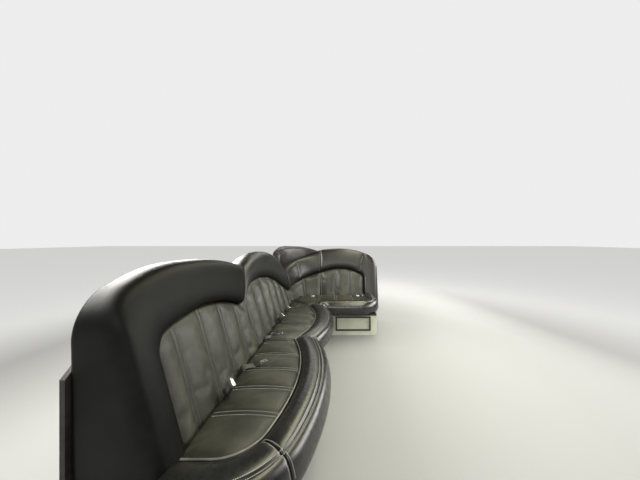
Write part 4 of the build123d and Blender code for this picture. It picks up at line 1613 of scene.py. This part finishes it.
    def sections(self, stretches: Sequence[Stretch]) -> tuple[np.ndarray, np.ndarray]:
        """Sections of one sewn length.

        Args:
            stretches: Its parts.

        Returns:
            Points by row and by place in the section, and each row's distance from the start.
        """
        inner, outer = self._edges(stretches)
        gone = travelled((inner + outer) / 2)
        front = np.array(BAND_FRONT)
        spot = inner[:, None] + (outer - inner)[:, None] * front[None, :, :1]
        pull = self.dip * np.exp(-to_ends(gone) / self.pull_fade)
        out = front[None, :, 1] - pull[:, None] * smooth_step(front[:, 1], -0.03, 0.01)[None, :]
        shown = self.back_map.place(spot[:, :, 0], spot[:, :, 1], out)
        rim, foot = shown[:, -1], shown[:, 0]
        high = self.back_map.square_behind(outer[:, 0], outer[:, 1], front[-1, 1])
        low = self.back_map.behind(inner[:, 0], foot[:, 2])
        lift = np.array([0, 0, self.back_swell])
        rings = [rim + (high - rim) * share + lift * swell for share, swell in BACK_RINGS]
        rings += [high, (high + low) / 2, low, (low + foot) / 2]
        return np.concatenate([shown, *(ring[:, None] for ring in rings)], axis=1), gone

    def build(self, seams: list[np.ndarray]) -> None:
        """Make the sewn lengths.

        Args:
            seams: Takes the lines along which they are stitched.
        """
        for node, stretches in self.stretches().items():
            near = node == "side_back_bolster_near"
            rows, gone = self.sections(stretches)
            around = travelled(rows[len(rows) // 2])
            held = np.zeros(rows.shape[:2])
            held[:, :2] = 1
            held[:, len(BAND_FRONT) + len(BACK_RINGS) :] = 1
            held[[0, -1]] = 1
            ends = np.exp(-to_ends(gone)[:, None] / self.seam_fade)
            pad = Pad(
                node.replace("bolster", "border").replace("end_post", "end_border"),
                node,
                Slot.LEATHER,
                rows,
                loft_faces(*rows.shape[:2]),
                np.stack(np.broadcast_arrays(gone[:, None], around), axis=2),
                np.maximum(ends, np.exp(-around / self.edge_fade)),
                held,
                cross_stitches(*rows.shape[:2], BAND_STITCHES, not near, node != "rear_back_end_post"),
                cap=0.004,
                slack=0.003,
            )
            # The near length takes the darker leather with painted shade
            pad.build(Finish.NEAR_BORDER if near else Finish.BACK_BORDER, seams)


@dataclass
class BackPanels:
    """Channelled panels of the backrest, whose tops follow the border's inner edge."""

    plan: BenchPlan
    back_map: BackMap
    border: BackBorder
    rows: int = 30
    pitch: float = 0.0125
    crown: float = 0.006
    sink: float = 0.016
    edge_roll: float = 0.03
    edge_fade: float = 0.07
    side_start: float = -1.107
    rear_end: float = 0.4545
    corner_pair: float = 0.17
    end_margin: float = 0.03
    near_puff: float = 0.006
    puff_gain: float = 0.008
    puff_from: float = -1.5
    puff_to: float = -0.7
    rear_puff: float = 0.01

    def _pad(
        self,
        name: str,
        node: str,
        columns: tuple[np.ndarray, np.ndarray],
        edge: np.ndarray,
        puff: np.ndarray | float,
    ) -> Pad:
        """Make a panel's pad.

        Args:
            name: Name of the piece.
            node: CAD node that it takes the place of.
            columns: Places of the columns and the channel's swell at each.
            edge: Places and heights of its top edge.
            puff: Fullness of its channels.

        Returns:
            The pad.
        """
        places, swells = columns
        order = np.argsort(edge[:, 0], kind="stable")
        top_up = self.back_map.up(np.interp(places, edge[order, 0], edge[order, 1]))[:, None]
        up = top_up * spread(self.rows)[None, :]
        rim = np.minimum(top_up - up, to_ends(places - places[0])[:, None])
        roll = rolled(rim, self.edge_roll)
        fullness = smooth_step(rim, 0.0, self.edge_fade)
        out = -self.sink + self.sink * roll + self.crown * fullness
        out = out + (puff * swells)[:, None] * (0.3 * roll + 0.7 * fullness)
        along = np.broadcast_to(places[:, None], up.shape)
        top = self.back_map.place(along, up, out)
        wall = self.back_map.behind(along, top[:, :, 2])
        cloth_map = np.stack([along, up], axis=2)
        return panel_pad(name, node, top, wall, cloth_map, rim, swells, fade=0.022, cap=0.006)

    def build(self, seams: list[np.ndarray]) -> None:
        """Make both panels.

        Args:
            seams: Takes the lines along which they are stitched.
        """
        p = self.plan
        rear = self.back_map.rear
        first = self.back_map.side(p.near_y + p.back_first)
        count = int((-self.end_margin - first) / p.back_pitch) + 1
        pairs = [first + index * p.back_pitch for index in range(count)]
        start = self.back_map.side(self.side_start)
        columns = channel_rows(start, 0.0, pairs, p.stitch_gap, self.pitch)
        edge = self.border.inner_edge(["side_back_bolster_near", "side_back_bolster_far"])
        puff = self.near_puff + self.puff_gain * smooth_step(columns[0], self.puff_from, self.puff_to)
        self._pad("back_panel_side", "side_back_insert", columns, edge, puff).build(Finish.PANEL, seams)
        pairs = [rear(p.open_x - p.rear_first - index * p.rear_pitch) for index in (2, 1, 0)]
        pairs.insert(0, self.back_map.turn - self.corner_pair)
        columns = channel_rows(0.0, rear(self.rear_end), pairs, p.stitch_gap, self.pitch)
        edge = self.border.inner_edge(["corner_back_bolster", "rear_back_bolster", "rear_back_end_post"])
        pad = self._pad("back_panel_rear", "rear_back_insert", columns, edge, self.rear_puff)
        pad.build(Finish.PANEL, seams)


@dataclass
class CornerPad:
    """Upright padded wedge that fills the corner behind the turned backrest.

    The crown gives, for each ring of the domed top, its scale and its drop below the height.
    """

    plan: BenchPlan
    height: float = 0.993
    fall: float = 0.085
    dome: float = 0.045
    wall_gap: float = 0.0015
    end_gap: float = 0.003
    front: float = 0.466
    forward: float = 0.034
    forward_from: float = 0.6
    forward_to: float = 0.86
    spine_share: float = 0.6
    rounding: float = 0.04
    levels: int = 26
    held_levels: int = 6
    wall_points: int = 25
    front_points: int = 45
    crown: tuple[Place, ...] = (
        (0.99, 0.03), (0.965, 0.017), (0.92, 0.009), (0.83, 0.004), (0.65, 0.0015), (0.35, 0.0),
    )

    def _outline(self, front: float) -> np.ndarray:
        """Level outline: along both walls and back along an arc round the turned corner.

        Args:
            front: Radius of the arc.

        Returns:
            Points of the outline.
        """
        p = self.plan
        wall = p.corner_radius + p.back_depth - p.ply - self.wall_gap
        turn = math.asin(self.end_gap / wall)
        corner_x, corner_y = p.back_corner[0] - wall, p.back_corner[1] + wall
        centre = (corner_x + self.rounding, corner_y - self.rounding)
        straight = (wall - self.rounding - self.end_gap) * np.linspace(0, 1, self.wall_points)
        places = [(corner_x, p.back_corner[1] + self.end_gap + gone) for gone in straight]
        for share in np.linspace(0, 1, 7)[1:-1]:
            places.append(on_circle(centre, self.rounding, math.pi - share * QUARTER))
        places += [(centre[0] + gone, corner_y) for gone in straight]
        for step in np.linspace(0, 1, self.front_points):
            share = (1 - math.cos(math.pi * step)) / 2
            lost = max(0.0, self.rounding - min(share, 1 - share) * front * math.pi / 2)
            radius = front + self.rounding - math.sqrt(self.rounding**2 - lost**2)
            angle = QUARTER + turn + (QUARTER - 2 * turn) * share
            places.append(on_circle(p.back_corner, radius, angle))
        return np.array(places)

    def _ring(self, lift: float, scale: float, drop: float) -> np.ndarray:
        """Points of a level ring, drawn in towards the wedge's middle line.

        Args:
            lift: Height of the ring.
            scale: Share of the full outline.
            drop: Distance that it lies lower.

        Returns:
            Points of the ring.
        """
        p = self.plan
        forward = self.forward * float(smooth_step(np.array(lift), self.forward_from, self.forward_to))
        ring = self._outline(self.front - forward)
        around = np.arctan2(ring[:, 1] - p.back_corner[1], p.back_corner[0] - ring[:, 0])
        share = np.clip(around / QUARTER, 0, 1)
        middle = ring.mean(axis=0) * (1 - self.spine_share) + self._spine(share) * self.spine_share
        rise = (lift - p.board_top) / (self.height - p.board_top)
        low = self.fall * (1 - np.sin(math.pi * share) ** 0.6) * rise**3
        return np.concatenate([middle + (ring - middle) * scale, (lift - drop - low)[:, None]], axis=1)

    def _spine(self, share: np.ndarray) -> np.ndarray:
        """Middle line of the wedge.

        Args:
            share: Fractions of the way round the corner.

        Returns:
            One place for each fraction.
        """
        p = self.plan
        angle = math.pi - share * math.pi / 2
        bend = 1 / np.maximum(np.abs(np.cos(angle)), np.abs(np.sin(angle)))
        radius = ((p.corner_radius + p.back_depth - p.ply) * bend + self.front) / 2
        x = p.back_corner[0] + radius * np.cos(angle)
        y = p.back_corner[1] + radius * np.sin(angle)
        return np.stack([x, y], axis=1)

    def build(self) -> None:
        """Make the wedge from level sections with a domed top."""
        lifts = np.linspace(self.plan.board_top, self.height - self.dome, self.levels)
        rows = [self._ring(lift, 1.0, 0.0) for lift in lifts]
        rows += [self._ring(self.height, scale, drop) for scale, drop in self.crown]
        sections = np.array(rows)
        rise = np.append(lifts, [self.height] * len(self.crown)) - self.plan.board_top
        held = np.zeros(sections.shape[:2])
        held[: self.held_levels] = 1
        held[:, : -self.front_points] = 1
        Pad(
            "corner_wedge",
            "corner_pad",
            Slot.LEATHER,
            sections,
            loft_faces(*sections.shape[:2]),
            np.stack(np.broadcast_arrays(travelled(sections[0, :, :2]), rise[:, None]), axis=2),
            np.zeros(sections.shape[:2]),
            held,
            cap=0.003,
            slack=0.002,
        ).build(Finish.BACK_BORDER, [])


# Sewing: piping and stitches


class PathTool:
    """Geometry Nodes tree that lays sewing along curves, with a named input for each size."""

    def __init__(self, name: str, sizes: dict[str, float]) -> None:
        """Start the tree with its inputs.

        Args:
            name: Name of the tree.
            sizes: Sizes in metres by name.
        """
        self.tree = bpy.data.node_groups.new(name, "GeometryNodeTree")
        sockets = self.tree.interface
        sockets.new_socket("Geometry", in_out="INPUT", socket_type="NodeSocketGeometry")
        for key, value in sizes.items():
            size = sockets.new_socket(key, in_out="INPUT", socket_type="NodeSocketFloat")
            size.default_value = value
        finish = sockets.new_socket("Finish", in_out="INPUT", socket_type="NodeSocketMaterial")
        self.finish_input = finish.identifier
        sockets.new_socket("Geometry", in_out="OUTPUT", socket_type="NodeSocketGeometry")
        self.given = self.tree.nodes.new("NodeGroupInput").outputs

    def node(
        self, kind: str, sockets: dict[str | int, object], **settings: object
    ) -> bpy.types.bpy_prop_collection:
        """Add a node.

        Args:
            kind: Type of the node.
            sockets: Values or output sockets for its inputs, by name or number.
            **settings: Its properties, which are set first.

        Returns:
            Its output sockets.
        """
        node = self.tree.nodes.new(kind)
        for key, value in settings.items():
            setattr(node, key, value)
        for key, value in sockets.items():
            if isinstance(value, bpy.types.NodeSocket):
                self.tree.links.new(value, node.inputs[key])
            else:
                node.inputs[key].default_value = value
        return node.outputs

    def close(self, shape: bpy.types.NodeSocket) -> "PathTool":
        """End the tree in Realize Instances and Set Material.

        Args:
            shape: Geometry of the sewing.

        Returns:
            The tool.
        """
        real = self.node("GeometryNodeRealizeInstances", {0: shape})
        sockets = {"Geometry": real[0], "Material": self.given["Finish"]}
        dressed = self.node("GeometryNodeSetMaterial", sockets)
        self.node("NodeGroupOutput", {0: dressed[0]})
        return self

    @classmethod
    def stitches(cls) -> "PathTool":
        """Tool that sets a short stitch at even steps along each curve.

        Returns:
            The tool.
        """
        tool = cls("stitch run", {"Spacing": 0.006, "Length": 0.0046, "Thickness": 0.002})
        given = tool.given
        sockets = {"Curve": given["Geometry"], "Length": given["Spacing"]}
        points = tool.node("GeometryNodeCurveToPoints", sockets, mode="LENGTH")
        ball = tool.node("GeometryNodeMeshIcoSphere", {"Radius": 0.5, "Subdivisions": 1})
        size = tool.node(
            "ShaderNodeCombineXYZ", {0: given["Thickness"], 1: given["Thickness"], 2: given["Length"]}
        )
        sockets = {key: points[key] for key in ("Points", "Rotation")}
        sockets |= {"Instance": ball["Mesh"], "Scale": size[0]}
        return tool.close(tool.node("GeometryNodeInstanceOnPoints", sockets)[0])

    @classmethod
    def piping(cls) -> "PathTool":
        """Tool that lays a round piping along each curve.

        Returns:
            The tool.
        """
        tool = cls("piping run", {"Radius": 0.0042})
        sockets = {"Resolution": 12, "Radius": tool.given["Radius"]}
        circle = tool.node("GeometryNodeCurvePrimitiveCircle", sockets)
        sockets = {"Curve": tool.given["Geometry"], "Profile Curve": circle[0], "Fill Caps": True}
        return tool.close(tool.node("GeometryNodeCurveToMesh", sockets)[0])

    def lay(self, name: str, lines: Sequence[np.ndarray], finish: Finish) -> None:
        """Lay the sewing along lines, make it a plain mesh and tie it to the frame.

        Args:
            name: Name of the piece.
            lines: Points of each line.
            finish: Finish of the sewing.
        """
        curve = bpy.data.curves.new(name, "CURVE")
        curve.dimensions = "3D"
        for line in lines:
            spline = curve.splines.new("POLY")
            spline.points.add(len(line) - 1)
            spline.points.foreach_set("co", np.c_[line, np.ones(len(line))].ravel())
        guide = new_piece(name + "_guide", curve)
        layer = guide.modifiers.new("sewing", "NODES")
        layer.node_group = self.tree
        layer[self.finish_input] = finish.material
        graph = bpy.context.evaluated_depsgraph_get()
        mesh = bpy.data.meshes.new_from_object(guide.evaluated_get(graph), depsgraph=graph)
        mesh.name = name
        mesh.shade_smooth()
        guide.modifiers.remove(layer)
        bpy.data.objects.remove(guide)
        piece = new_piece(name, mesh)
        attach(piece, BODY)
        LOG.info("%s: %d lines, %d faces", name, len(lines), len(mesh.polygons))


WELT_PIPING = (-0.0005, 0.1115)
PIPING_STEP = 0.01


def welt_line(border: SeatBorder) -> np.ndarray:
    """Line of the piping between the seat's border and its panels.

    Args:
        border: Border of the seat.

    Returns:
        Points of the line.
    """
    welt = np.array([WELT_PIPING])
    floor = border.plan.board_top
    courses = [course for piece in border.courses().values() for course in piece]
    points = np.concatenate(
        [
            course.points(welt, spaced(course.length(), PIPING_STEP, False, False), floor)[:, 0]
            for course in courses
        ]
    )
    moved = np.linalg.norm(np.diff(points, axis=0), axis=1) > 1e-5
    return points[np.concatenate([[True], moved])]


# Base and belts


class Base:
    """Boards and brackets that stay as the frame has them, in their finishes."""

    finishes: dict[Finish, tuple[str, ...]] = {
        Finish.COVER: ("side_kick_board", "near_end_board", "rear_end_board"),
        Finish.RISER_CARPET_PAINTED_LIGHT: ("rear_kick_board", "rear_access_panel"),
        Finish.TRIM: ("rear_access_frame",),
        Finish.PLYWOOD: ("side_base_rib_1", "side_base_rib_2", "side_base_rib_3", "rear_base_rib"),
        Finish.STAINED: ("side_wall_board", "rear_wall_board", "side_seat_board", "rear_seat_board"),
        Finish.STEEL: ("floor_brackets",),
    }

    def dress(self) -> None:
        """Give every rigid node its finish."""
        for finish, nodes in self.finishes.items():
            for node in nodes:
                for material_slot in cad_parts[node].material_slots:
                    material_slot.material = finish.material
            LOG.info("%s: %s", finish.value.name, ", ".join(nodes))


@dataclass
class Shell:
    """Closed shell with one finish, in its own axes until it is moved."""

    points: np.ndarray
    faces: list[Face]
    finish: Finish
    cloth_map: np.ndarray | None = None

    def moved(self, matrix: Matrix) -> "Shell":
        """The shell after a move."""
        points = self.points @ np.array(matrix.to_3x3()).T + np.array(matrix.translation)
        return Shell(points, self.faces, self.finish, self.cloth_map)


@dataclass(frozen=True)
class Block:
    """Soft-edged block of belt hardware that lies along X, with its shift from the strap's end."""

    finish: Finish
    size: Triple
    power: float
    shift: Triple = (0, 0, 0)
    taper: float = 0
    waist: float = 0
    stations: tuple[float, ...] = (0, 0.02, 0.06, 0.14, 0.3, 0.5, 0.7, 0.86, 0.94, 0.98, 1.0)
    scales: tuple[float, ...] = (0.72, 0.88, 0.96, 1, 1, 1, 1, 1, 0.96, 0.88, 0.72)
    around: int = 28

    def shell(self, matrix: Matrix) -> Shell:
        """Shell of the block from superellipse sections.

        Args:
            matrix: Axes at the strap's end.

        Returns:
            The shell in its place.
        """
        length, width, height = self.size
        turn = np.linspace(0, 2 * math.pi, self.around, endpoint=False)
        across = np.sign(np.cos(turn)) * np.abs(np.cos(turn)) ** (2 / self.power)
        up = np.sign(np.sin(turn)) * np.abs(np.sin(turn)) ** (2 / self.power)
        rows = []
        for station, scale in zip(self.stations, self.scales):
            narrowed = (1 - self.taper * (1 - station)) * (1 - self.waist * math.sin(math.pi * station))
            x = np.full_like(across, station * length)
            y = across * width / 2 * scale * narrowed
            rows.append(np.stack([x, y, (up * scale + 1) * height / 2], axis=1))
        shell = Shell(np.concatenate(rows), loft_faces(len(rows), self.around), self.finish)
        return shell.moved(matrix @ Matrix.Translation(self.shift))


BUCKLE = (
    Block(Finish.PLASTIC, (0.05, 0.041, 0.018), 5, (0, 0, -0.009), 0.08, 0.03),
    Block(Finish.BUTTON, (0.024, 0.034, 0.003), 6, (0.021, 0, 0.0075)),
    Block(Finish.CHROME, (0.017, 0.043, 0.0195), 6, (0.047, 0, -0.0098)),
)
TONGUE = (
    Block(Finish.PLASTIC, (0.03, 0.052, 0.012), 4),
    Block(Finish.CHROME, (0.036, 0.026, 0.0028), 8, (0.029, 0, 0.0045)),
)


@dataclass
class LapBelts:
    """Lap belts of both benches: webbing, push-button buckles and chromed tongues.

    A path of the webbing gives places out of the crevice and up from the seat.
    """

    plan: BenchPlan
    reach: float = 0.058
    lift: float = 0.004
    width: float = 0.046
    thickness: float = 0.0018
    bulge: float = 0.0006
    strap_rows: int = 25
    tongue_tilt: float = -0.12
    buckle_tilt: float = -0.1
    stand: float = 1.05
    twist: float = 0.9
    side_buckles: tuple[float, ...] = (0.45, 1.38, 1.61)
    side_tongues: tuple[float, ...] = (0.67, 1.05, 1.76)
    side_turn: float = 35
    rear_buckle: float = 0.265
    rear_tongue: float = 0.205
    corner_buckle: float = 118
    corner_tongue: float = 140
    lying: tuple[Place, ...] = (
        (-0.006, -0.05), (-0.006, -0.02), (-0.004, 0.002), (0.006, 0.009), (0.02, 0.0085),
        (0.035, 0.006), (0.05, 0.006), (0.068, 0.007),
    )
    standing: tuple[Place, ...] = (
        (-0.004, -0.05), (-0.003, -0.03), (-0.001, -0.01), (0.004, 0.006), (0.012, 0.019),
    )

    def _belt(self, place: Place, turn: float) -> Matrix:
        """Axes of a belt at its crevice point: X out of the crevice, Y across, Z up."""
        height = self.plan.seat_top + self.lift
        return Matrix.Translation((*place, height)) @ Matrix.Rotation(math.radians(turn), 4, "Z")

    def _corner_belt(self, angle: float) -> Matrix:
        """Axes of a belt in the turned corner, at an angle in degrees."""
        place = on_circle(self.plan.back_corner, self.plan.corner_radius, math.radians(angle))
        return self._belt(place, angle + 180)

    def _axes(self) -> dict[str, list[Matrix]]:
        """Axes of every belt.

        Returns:
            Lists by CAD node.
        """
        p = self.plan
        side, turn, near = p.crevice_x, self.side_turn, p.near_y
        rear_buckle = self._belt((p.open_x - self.rear_buckle, p.crevice_y), -90)
        rear_tongue = self._belt((p.open_x - self.rear_tongue, p.crevice_y), -90)
        return {
            "side_belt_buckles": [self._belt((side, near + along), 0) for along in self.side_buckles],
            "side_belt_tongues": [self._belt((side, near + along), turn) for along in self.side_tongues],
            "rear_belt_buckles": [rear_buckle, self._corner_belt(self.corner_buckle)],
            "rear_belt_tongues": [rear_tongue, self._corner_belt(self.corner_tongue)],
        }

    def _tilt(self, angle: float) -> Matrix:
        """Axes at the end of a lying strap, tilted by an angle."""
        return Matrix.Translation((self.reach, 0, 0)) @ Matrix.Rotation(angle, 4, "Y")

    def _raised(self) -> Matrix:
        """Axes at the end of a standing strap."""
        turned = Matrix.Rotation(-self.stand, 4, "Y") @ Matrix.Rotation(self.twist, 4, "X")
        return Matrix.Translation((0.01, 0, 0.01)) @ turned

    def _strap(self, path: Sequence[Place]) -> Shell:
        """Webbing out of the crevice to its buckle or tongue.

        Args:
            path: Its course.

        Returns:
            The shell with its cloth map.
        """
        spots = np.linspace(0, 1, self.strap_rows)
        marks = np.linspace(0, 1, len(path))
        line = np.stack([np.interp(spots, marks, values) for values in np.array(path).T], axis=1)
        normal = normals(np.gradient(line, axis=0))
        half = self.width / 2
        lower = [(half * share, -1.0) for share in (-1, -0.5, 0, 0.5, 1)]
        upper = [(across, 1.0) for across, _ in reversed(lower)]
        ring = np.array([*lower, (half + self.bulge, 0.0), *upper, (-half - self.bulge, 0.0)])
        spot = line[:, None] + normal[:, None] * ring[None, :, 1:] * self.thickness / 2
        across = np.broadcast_to(ring[:, 0], spot.shape[:2])
        points = np.stack([spot[:, :, 0], across, spot[:, :, 1]], axis=2).reshape(-1, 3)
        cloth_map = np.stack(np.broadcast_arrays(travelled(line)[:, None], across), axis=2).reshape(-1, 2)
        return Shell(points, loft_faces(*across.shape), Finish.WEBBING, cloth_map)

    @staticmethod
    def _join(name: str, node: str, slot: Slot, shells: Sequence[Shell]) -> None:
        """Make one piece from several closed shells and tie it to the frame.

        Args:
            name: Name of the piece.
            node: CAD node that it takes the place of.
            slot: Slot of the record.
            shells: The shells.
        """
        finishes = list(dict.fromkeys(shell.finish for shell in shells))
        faces, marks, total = [], [], 0
        for shell in shells:
            faces += [tuple(number + total for number in face) for face in shell.faces]
            marks += [finishes.index(shell.finish)] * len(shell.faces)
            total += len(shell.points)
        mesh = bpy.data.meshes.new(name)
        mesh.from_pydata(np.concatenate([shell.points for shell in shells]).tolist(), [], faces)
        for finish in finishes:
            mesh.materials.append(finish.material)
        mesh.polygons.foreach_set("material_index", marks)
        face_outwards(mesh)
        mesh.shade_smooth()
        if slot is Slot.WEBBING:
            lay_cloth(mesh, np.concatenate([shell.cloth_map for shell in shells]))
        piece = new_piece(name, mesh)
        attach(piece, BODY)
        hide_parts(node)
        LOG.info("%s: %d faces", name, len(mesh.polygons))

    def build(self) -> None:
        """Make all belts."""
        axes = self._axes()
        lying = self._strap(self.lying)
        courses = {
            "side": (self._strap(self.standing), self._raised()),
            "rear": (lying, self._tilt(self.buckle_tilt)),
        }
        for bench, (strap, end) in courses.items():
            buckles, tongues = axes[f"{bench}_belt_buckles"], axes[f"{bench}_belt_tongues"]
            straps = [strap.moved(matrix) for matrix in buckles]
            straps += [lying.moved(matrix) for matrix in tongues]
            self._join(f"{bench}_belt_straps", f"{bench}_belt_webbing", Slot.WEBBING, straps)
            shells = [block.shell(matrix @ end) for matrix in buckles for block in BUCKLE]
            self._join(f"{bench}_belt_latches", f"{bench}_belt_buckles", Slot.PLASTIC, shells)
            end = self._tilt(self.tongue_tilt)
            shells = [block.shell(matrix @ end) for matrix in tongues for block in TONGUE]
            self._join(f"{bench}_belt_blades", f"{bench}_belt_tongues", Slot.CHROME, shells)


# Floor and light


@dataclass(frozen=True)
class Lamp:
    """Soft rectangular lamp, facing a point."""

    name: str
    place: Triple
    target: Triple
    sides: tuple[float, float]
    watts: float
    colour: Triple = (1.0, 0.99, 0.93)

    def hang(self) -> None:
        """Put the lamp in the scene."""
        lamp = bpy.data.lights.new(self.name, "AREA")
        lamp.shape = "RECTANGLE"
        lamp.size, lamp.size_y = self.sides
        lamp.energy = self.watts
        lamp.color = self.colour
        holder = bpy.data.objects.new(self.name, lamp)
        holder.location = self.place
        ahead = Vector(self.target) - Vector(self.place)
        holder.rotation_euler = ahead.to_track_quat("-Z", "Y").to_euler()
        bpy.context.scene.collection.objects.link(holder)


LAMPS = (
    Lamp("ceiling strip", (0.6, 0.1, 2.3), (-0.1, 0.1, 0.4), (3.6, 0.6), 44, (1.0, 0.96, 0.7)),
    Lamp("window opposite", (2.2, 0.9, 1.35), (-0.2, 0.5, 0.5), (3.0, 0.7), 60),
    Lamp("rear window", (0.1, 3.0, 2.2), (0.0, 0.2, 0.4), (2.4, 0.6), 11),
    Lamp("near window", (2.0, -0.9, 1.5), (-0.3, 0.3, 0.6), (1.6, 0.8), 12),
    Lamp("window behind the back", (-1.7, 0.1, 1.7), (-0.3, 0.1, 0.85), (3.6, 0.6), 130),
    Lamp("behind the camera", (0.1, -3.8, 2.0), (0.0, 1.0, 0.6), (2.4, 0.5), 36),
)


@dataclass
class Studio:
    """Pale floor, soft lights and the camera."""

    floor_size: float = 80
    # Floor colours near and far: painted shade where the lamps light the floor, painted light where their
    # light falls off
    floor_near_painted_shade: Triple = (0.3, 0.3, 0.295)
    floor_far_painted_light: Triple = (0.92, 0.92, 0.91)
    fade_start: float = 1.7
    fade_end: float = 4.4
    world_light: float = 0.75
    world_reflected: float = 0.05
    world_seen: float = 0.85
    lens: float = 13.5
    sideways: float = -0.028125
    eye: Triple = (0.13, -1.8825, 1.07)

    def build(self) -> None:
        """Make the floor, the lamps, the world and the camera."""
        bpy.context.scene.view_settings.view_transform = "Standard"
        self._floor()
        self._world()
        for lamp in LAMPS:
            lamp.hang()
        self._camera()

    def _camera(self) -> None:
        """Level wide-angle camera that looks along the bench."""
        lens = bpy.data.cameras.new("camera")
        lens.lens = self.lens
        lens.sensor_width = 36
        lens.shift_x = self.sideways
        lens.clip_start = 0.02
        camera = bpy.data.objects.new("camera", lens)
        camera.location = self.eye
        camera.rotation_euler = (QUARTER, 0, 0)
        bpy.context.scene.collection.objects.link(camera)
        bpy.context.scene.camera = camera

    def _floor(self) -> None:
        """Pale floor that isn't part of the bench: darker round it as painted shade where the lamps are
        strong, paler further out as painted light where their light falls off.
        """
        half = self.floor_size / 2
        mesh = bpy.data.meshes.new("floor")
        corners = [(-half, -half, 0), (half, -half, 0), (half, half, 0), (-half, half, 0)]
        mesh.from_pydata(corners, [], [(0, 1, 2, 3)])
        floor = new_piece("floor", mesh)
        shader = Shader("studio floor")
        distance = shader.node("ShaderNodeVectorMath", {"operation": "LENGTH"}, {0: shader.coordinates()})
        away = Wire(shader, distance.outputs["Value"]).between(self.fade_start, self.fade_end)
        colour = shader.mix(away, self.floor_near_painted_shade, self.floor_far_painted_light)
        mesh.materials.append(shader.finish(Base_Color=colour, Roughness=0.9))

    def _world(self) -> None:
        """Even white world, dimmer in reflections and paler where the camera sees it."""
        world = bpy.data.worlds.new("studio")
        world.use_nodes = True
        nodes, links = world.node_tree.nodes, world.node_tree.links
        path = nodes.new("ShaderNodeLightPath")
        level = None
        for ray, strength in (("Is Glossy Ray", self.world_reflected), ("Is Camera Ray", self.world_seen)):
            change = nodes.new("ShaderNodeMapRange")
            change.inputs["To Min"].default_value = self.world_light
            change.inputs["To Max"].default_value = strength
            if level:
                links.new(level, change.inputs["To Min"])
            links.new(path.outputs[ray], change.inputs["Value"])
            level = change.outputs["Result"]
        links.new(level, nodes["Background"].inputs["Strength"])
        nodes["Background"].inputs["Color"].default_value = (1, 1, 1, 1)
        bpy.context.scene.world = world


def main() -> None:
    """Build the bench piece by piece."""
    logging.basicConfig(level=logging.INFO, format="%(name)s: %(message)s")
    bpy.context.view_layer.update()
    plan = BenchPlan()
    LOG.info("finishes: %s", ", ".join(finish.material.name for finish in Finish))
    Studio().build()
    Base().dress()
    seat_seams: list[np.ndarray] = []
    back_seams: list[np.ndarray] = []
    border = SeatBorder(plan)
    border.build(seat_seams)
    SeatPanels(plan).build(seat_seams)
    back_map = BackMap(plan)
    back_border = BackBorder(plan, back_map)
    back_border.build(back_seams)
    BackPanels(plan, back_map, back_border).build(back_seams)
    CornerPad(plan).build()
    stitches = PathTool.stitches()
    stitches.lay("seat_stitches", seat_seams, Finish.THREAD)
    stitches.lay("back_stitches", back_seams, Finish.DARK_THREAD)
    PathTool.piping().lay("seat_piping", [welt_line(border)], Finish.PIPING)
    LapBelts(plan).build()


if __name__ == "__main__":
    main()
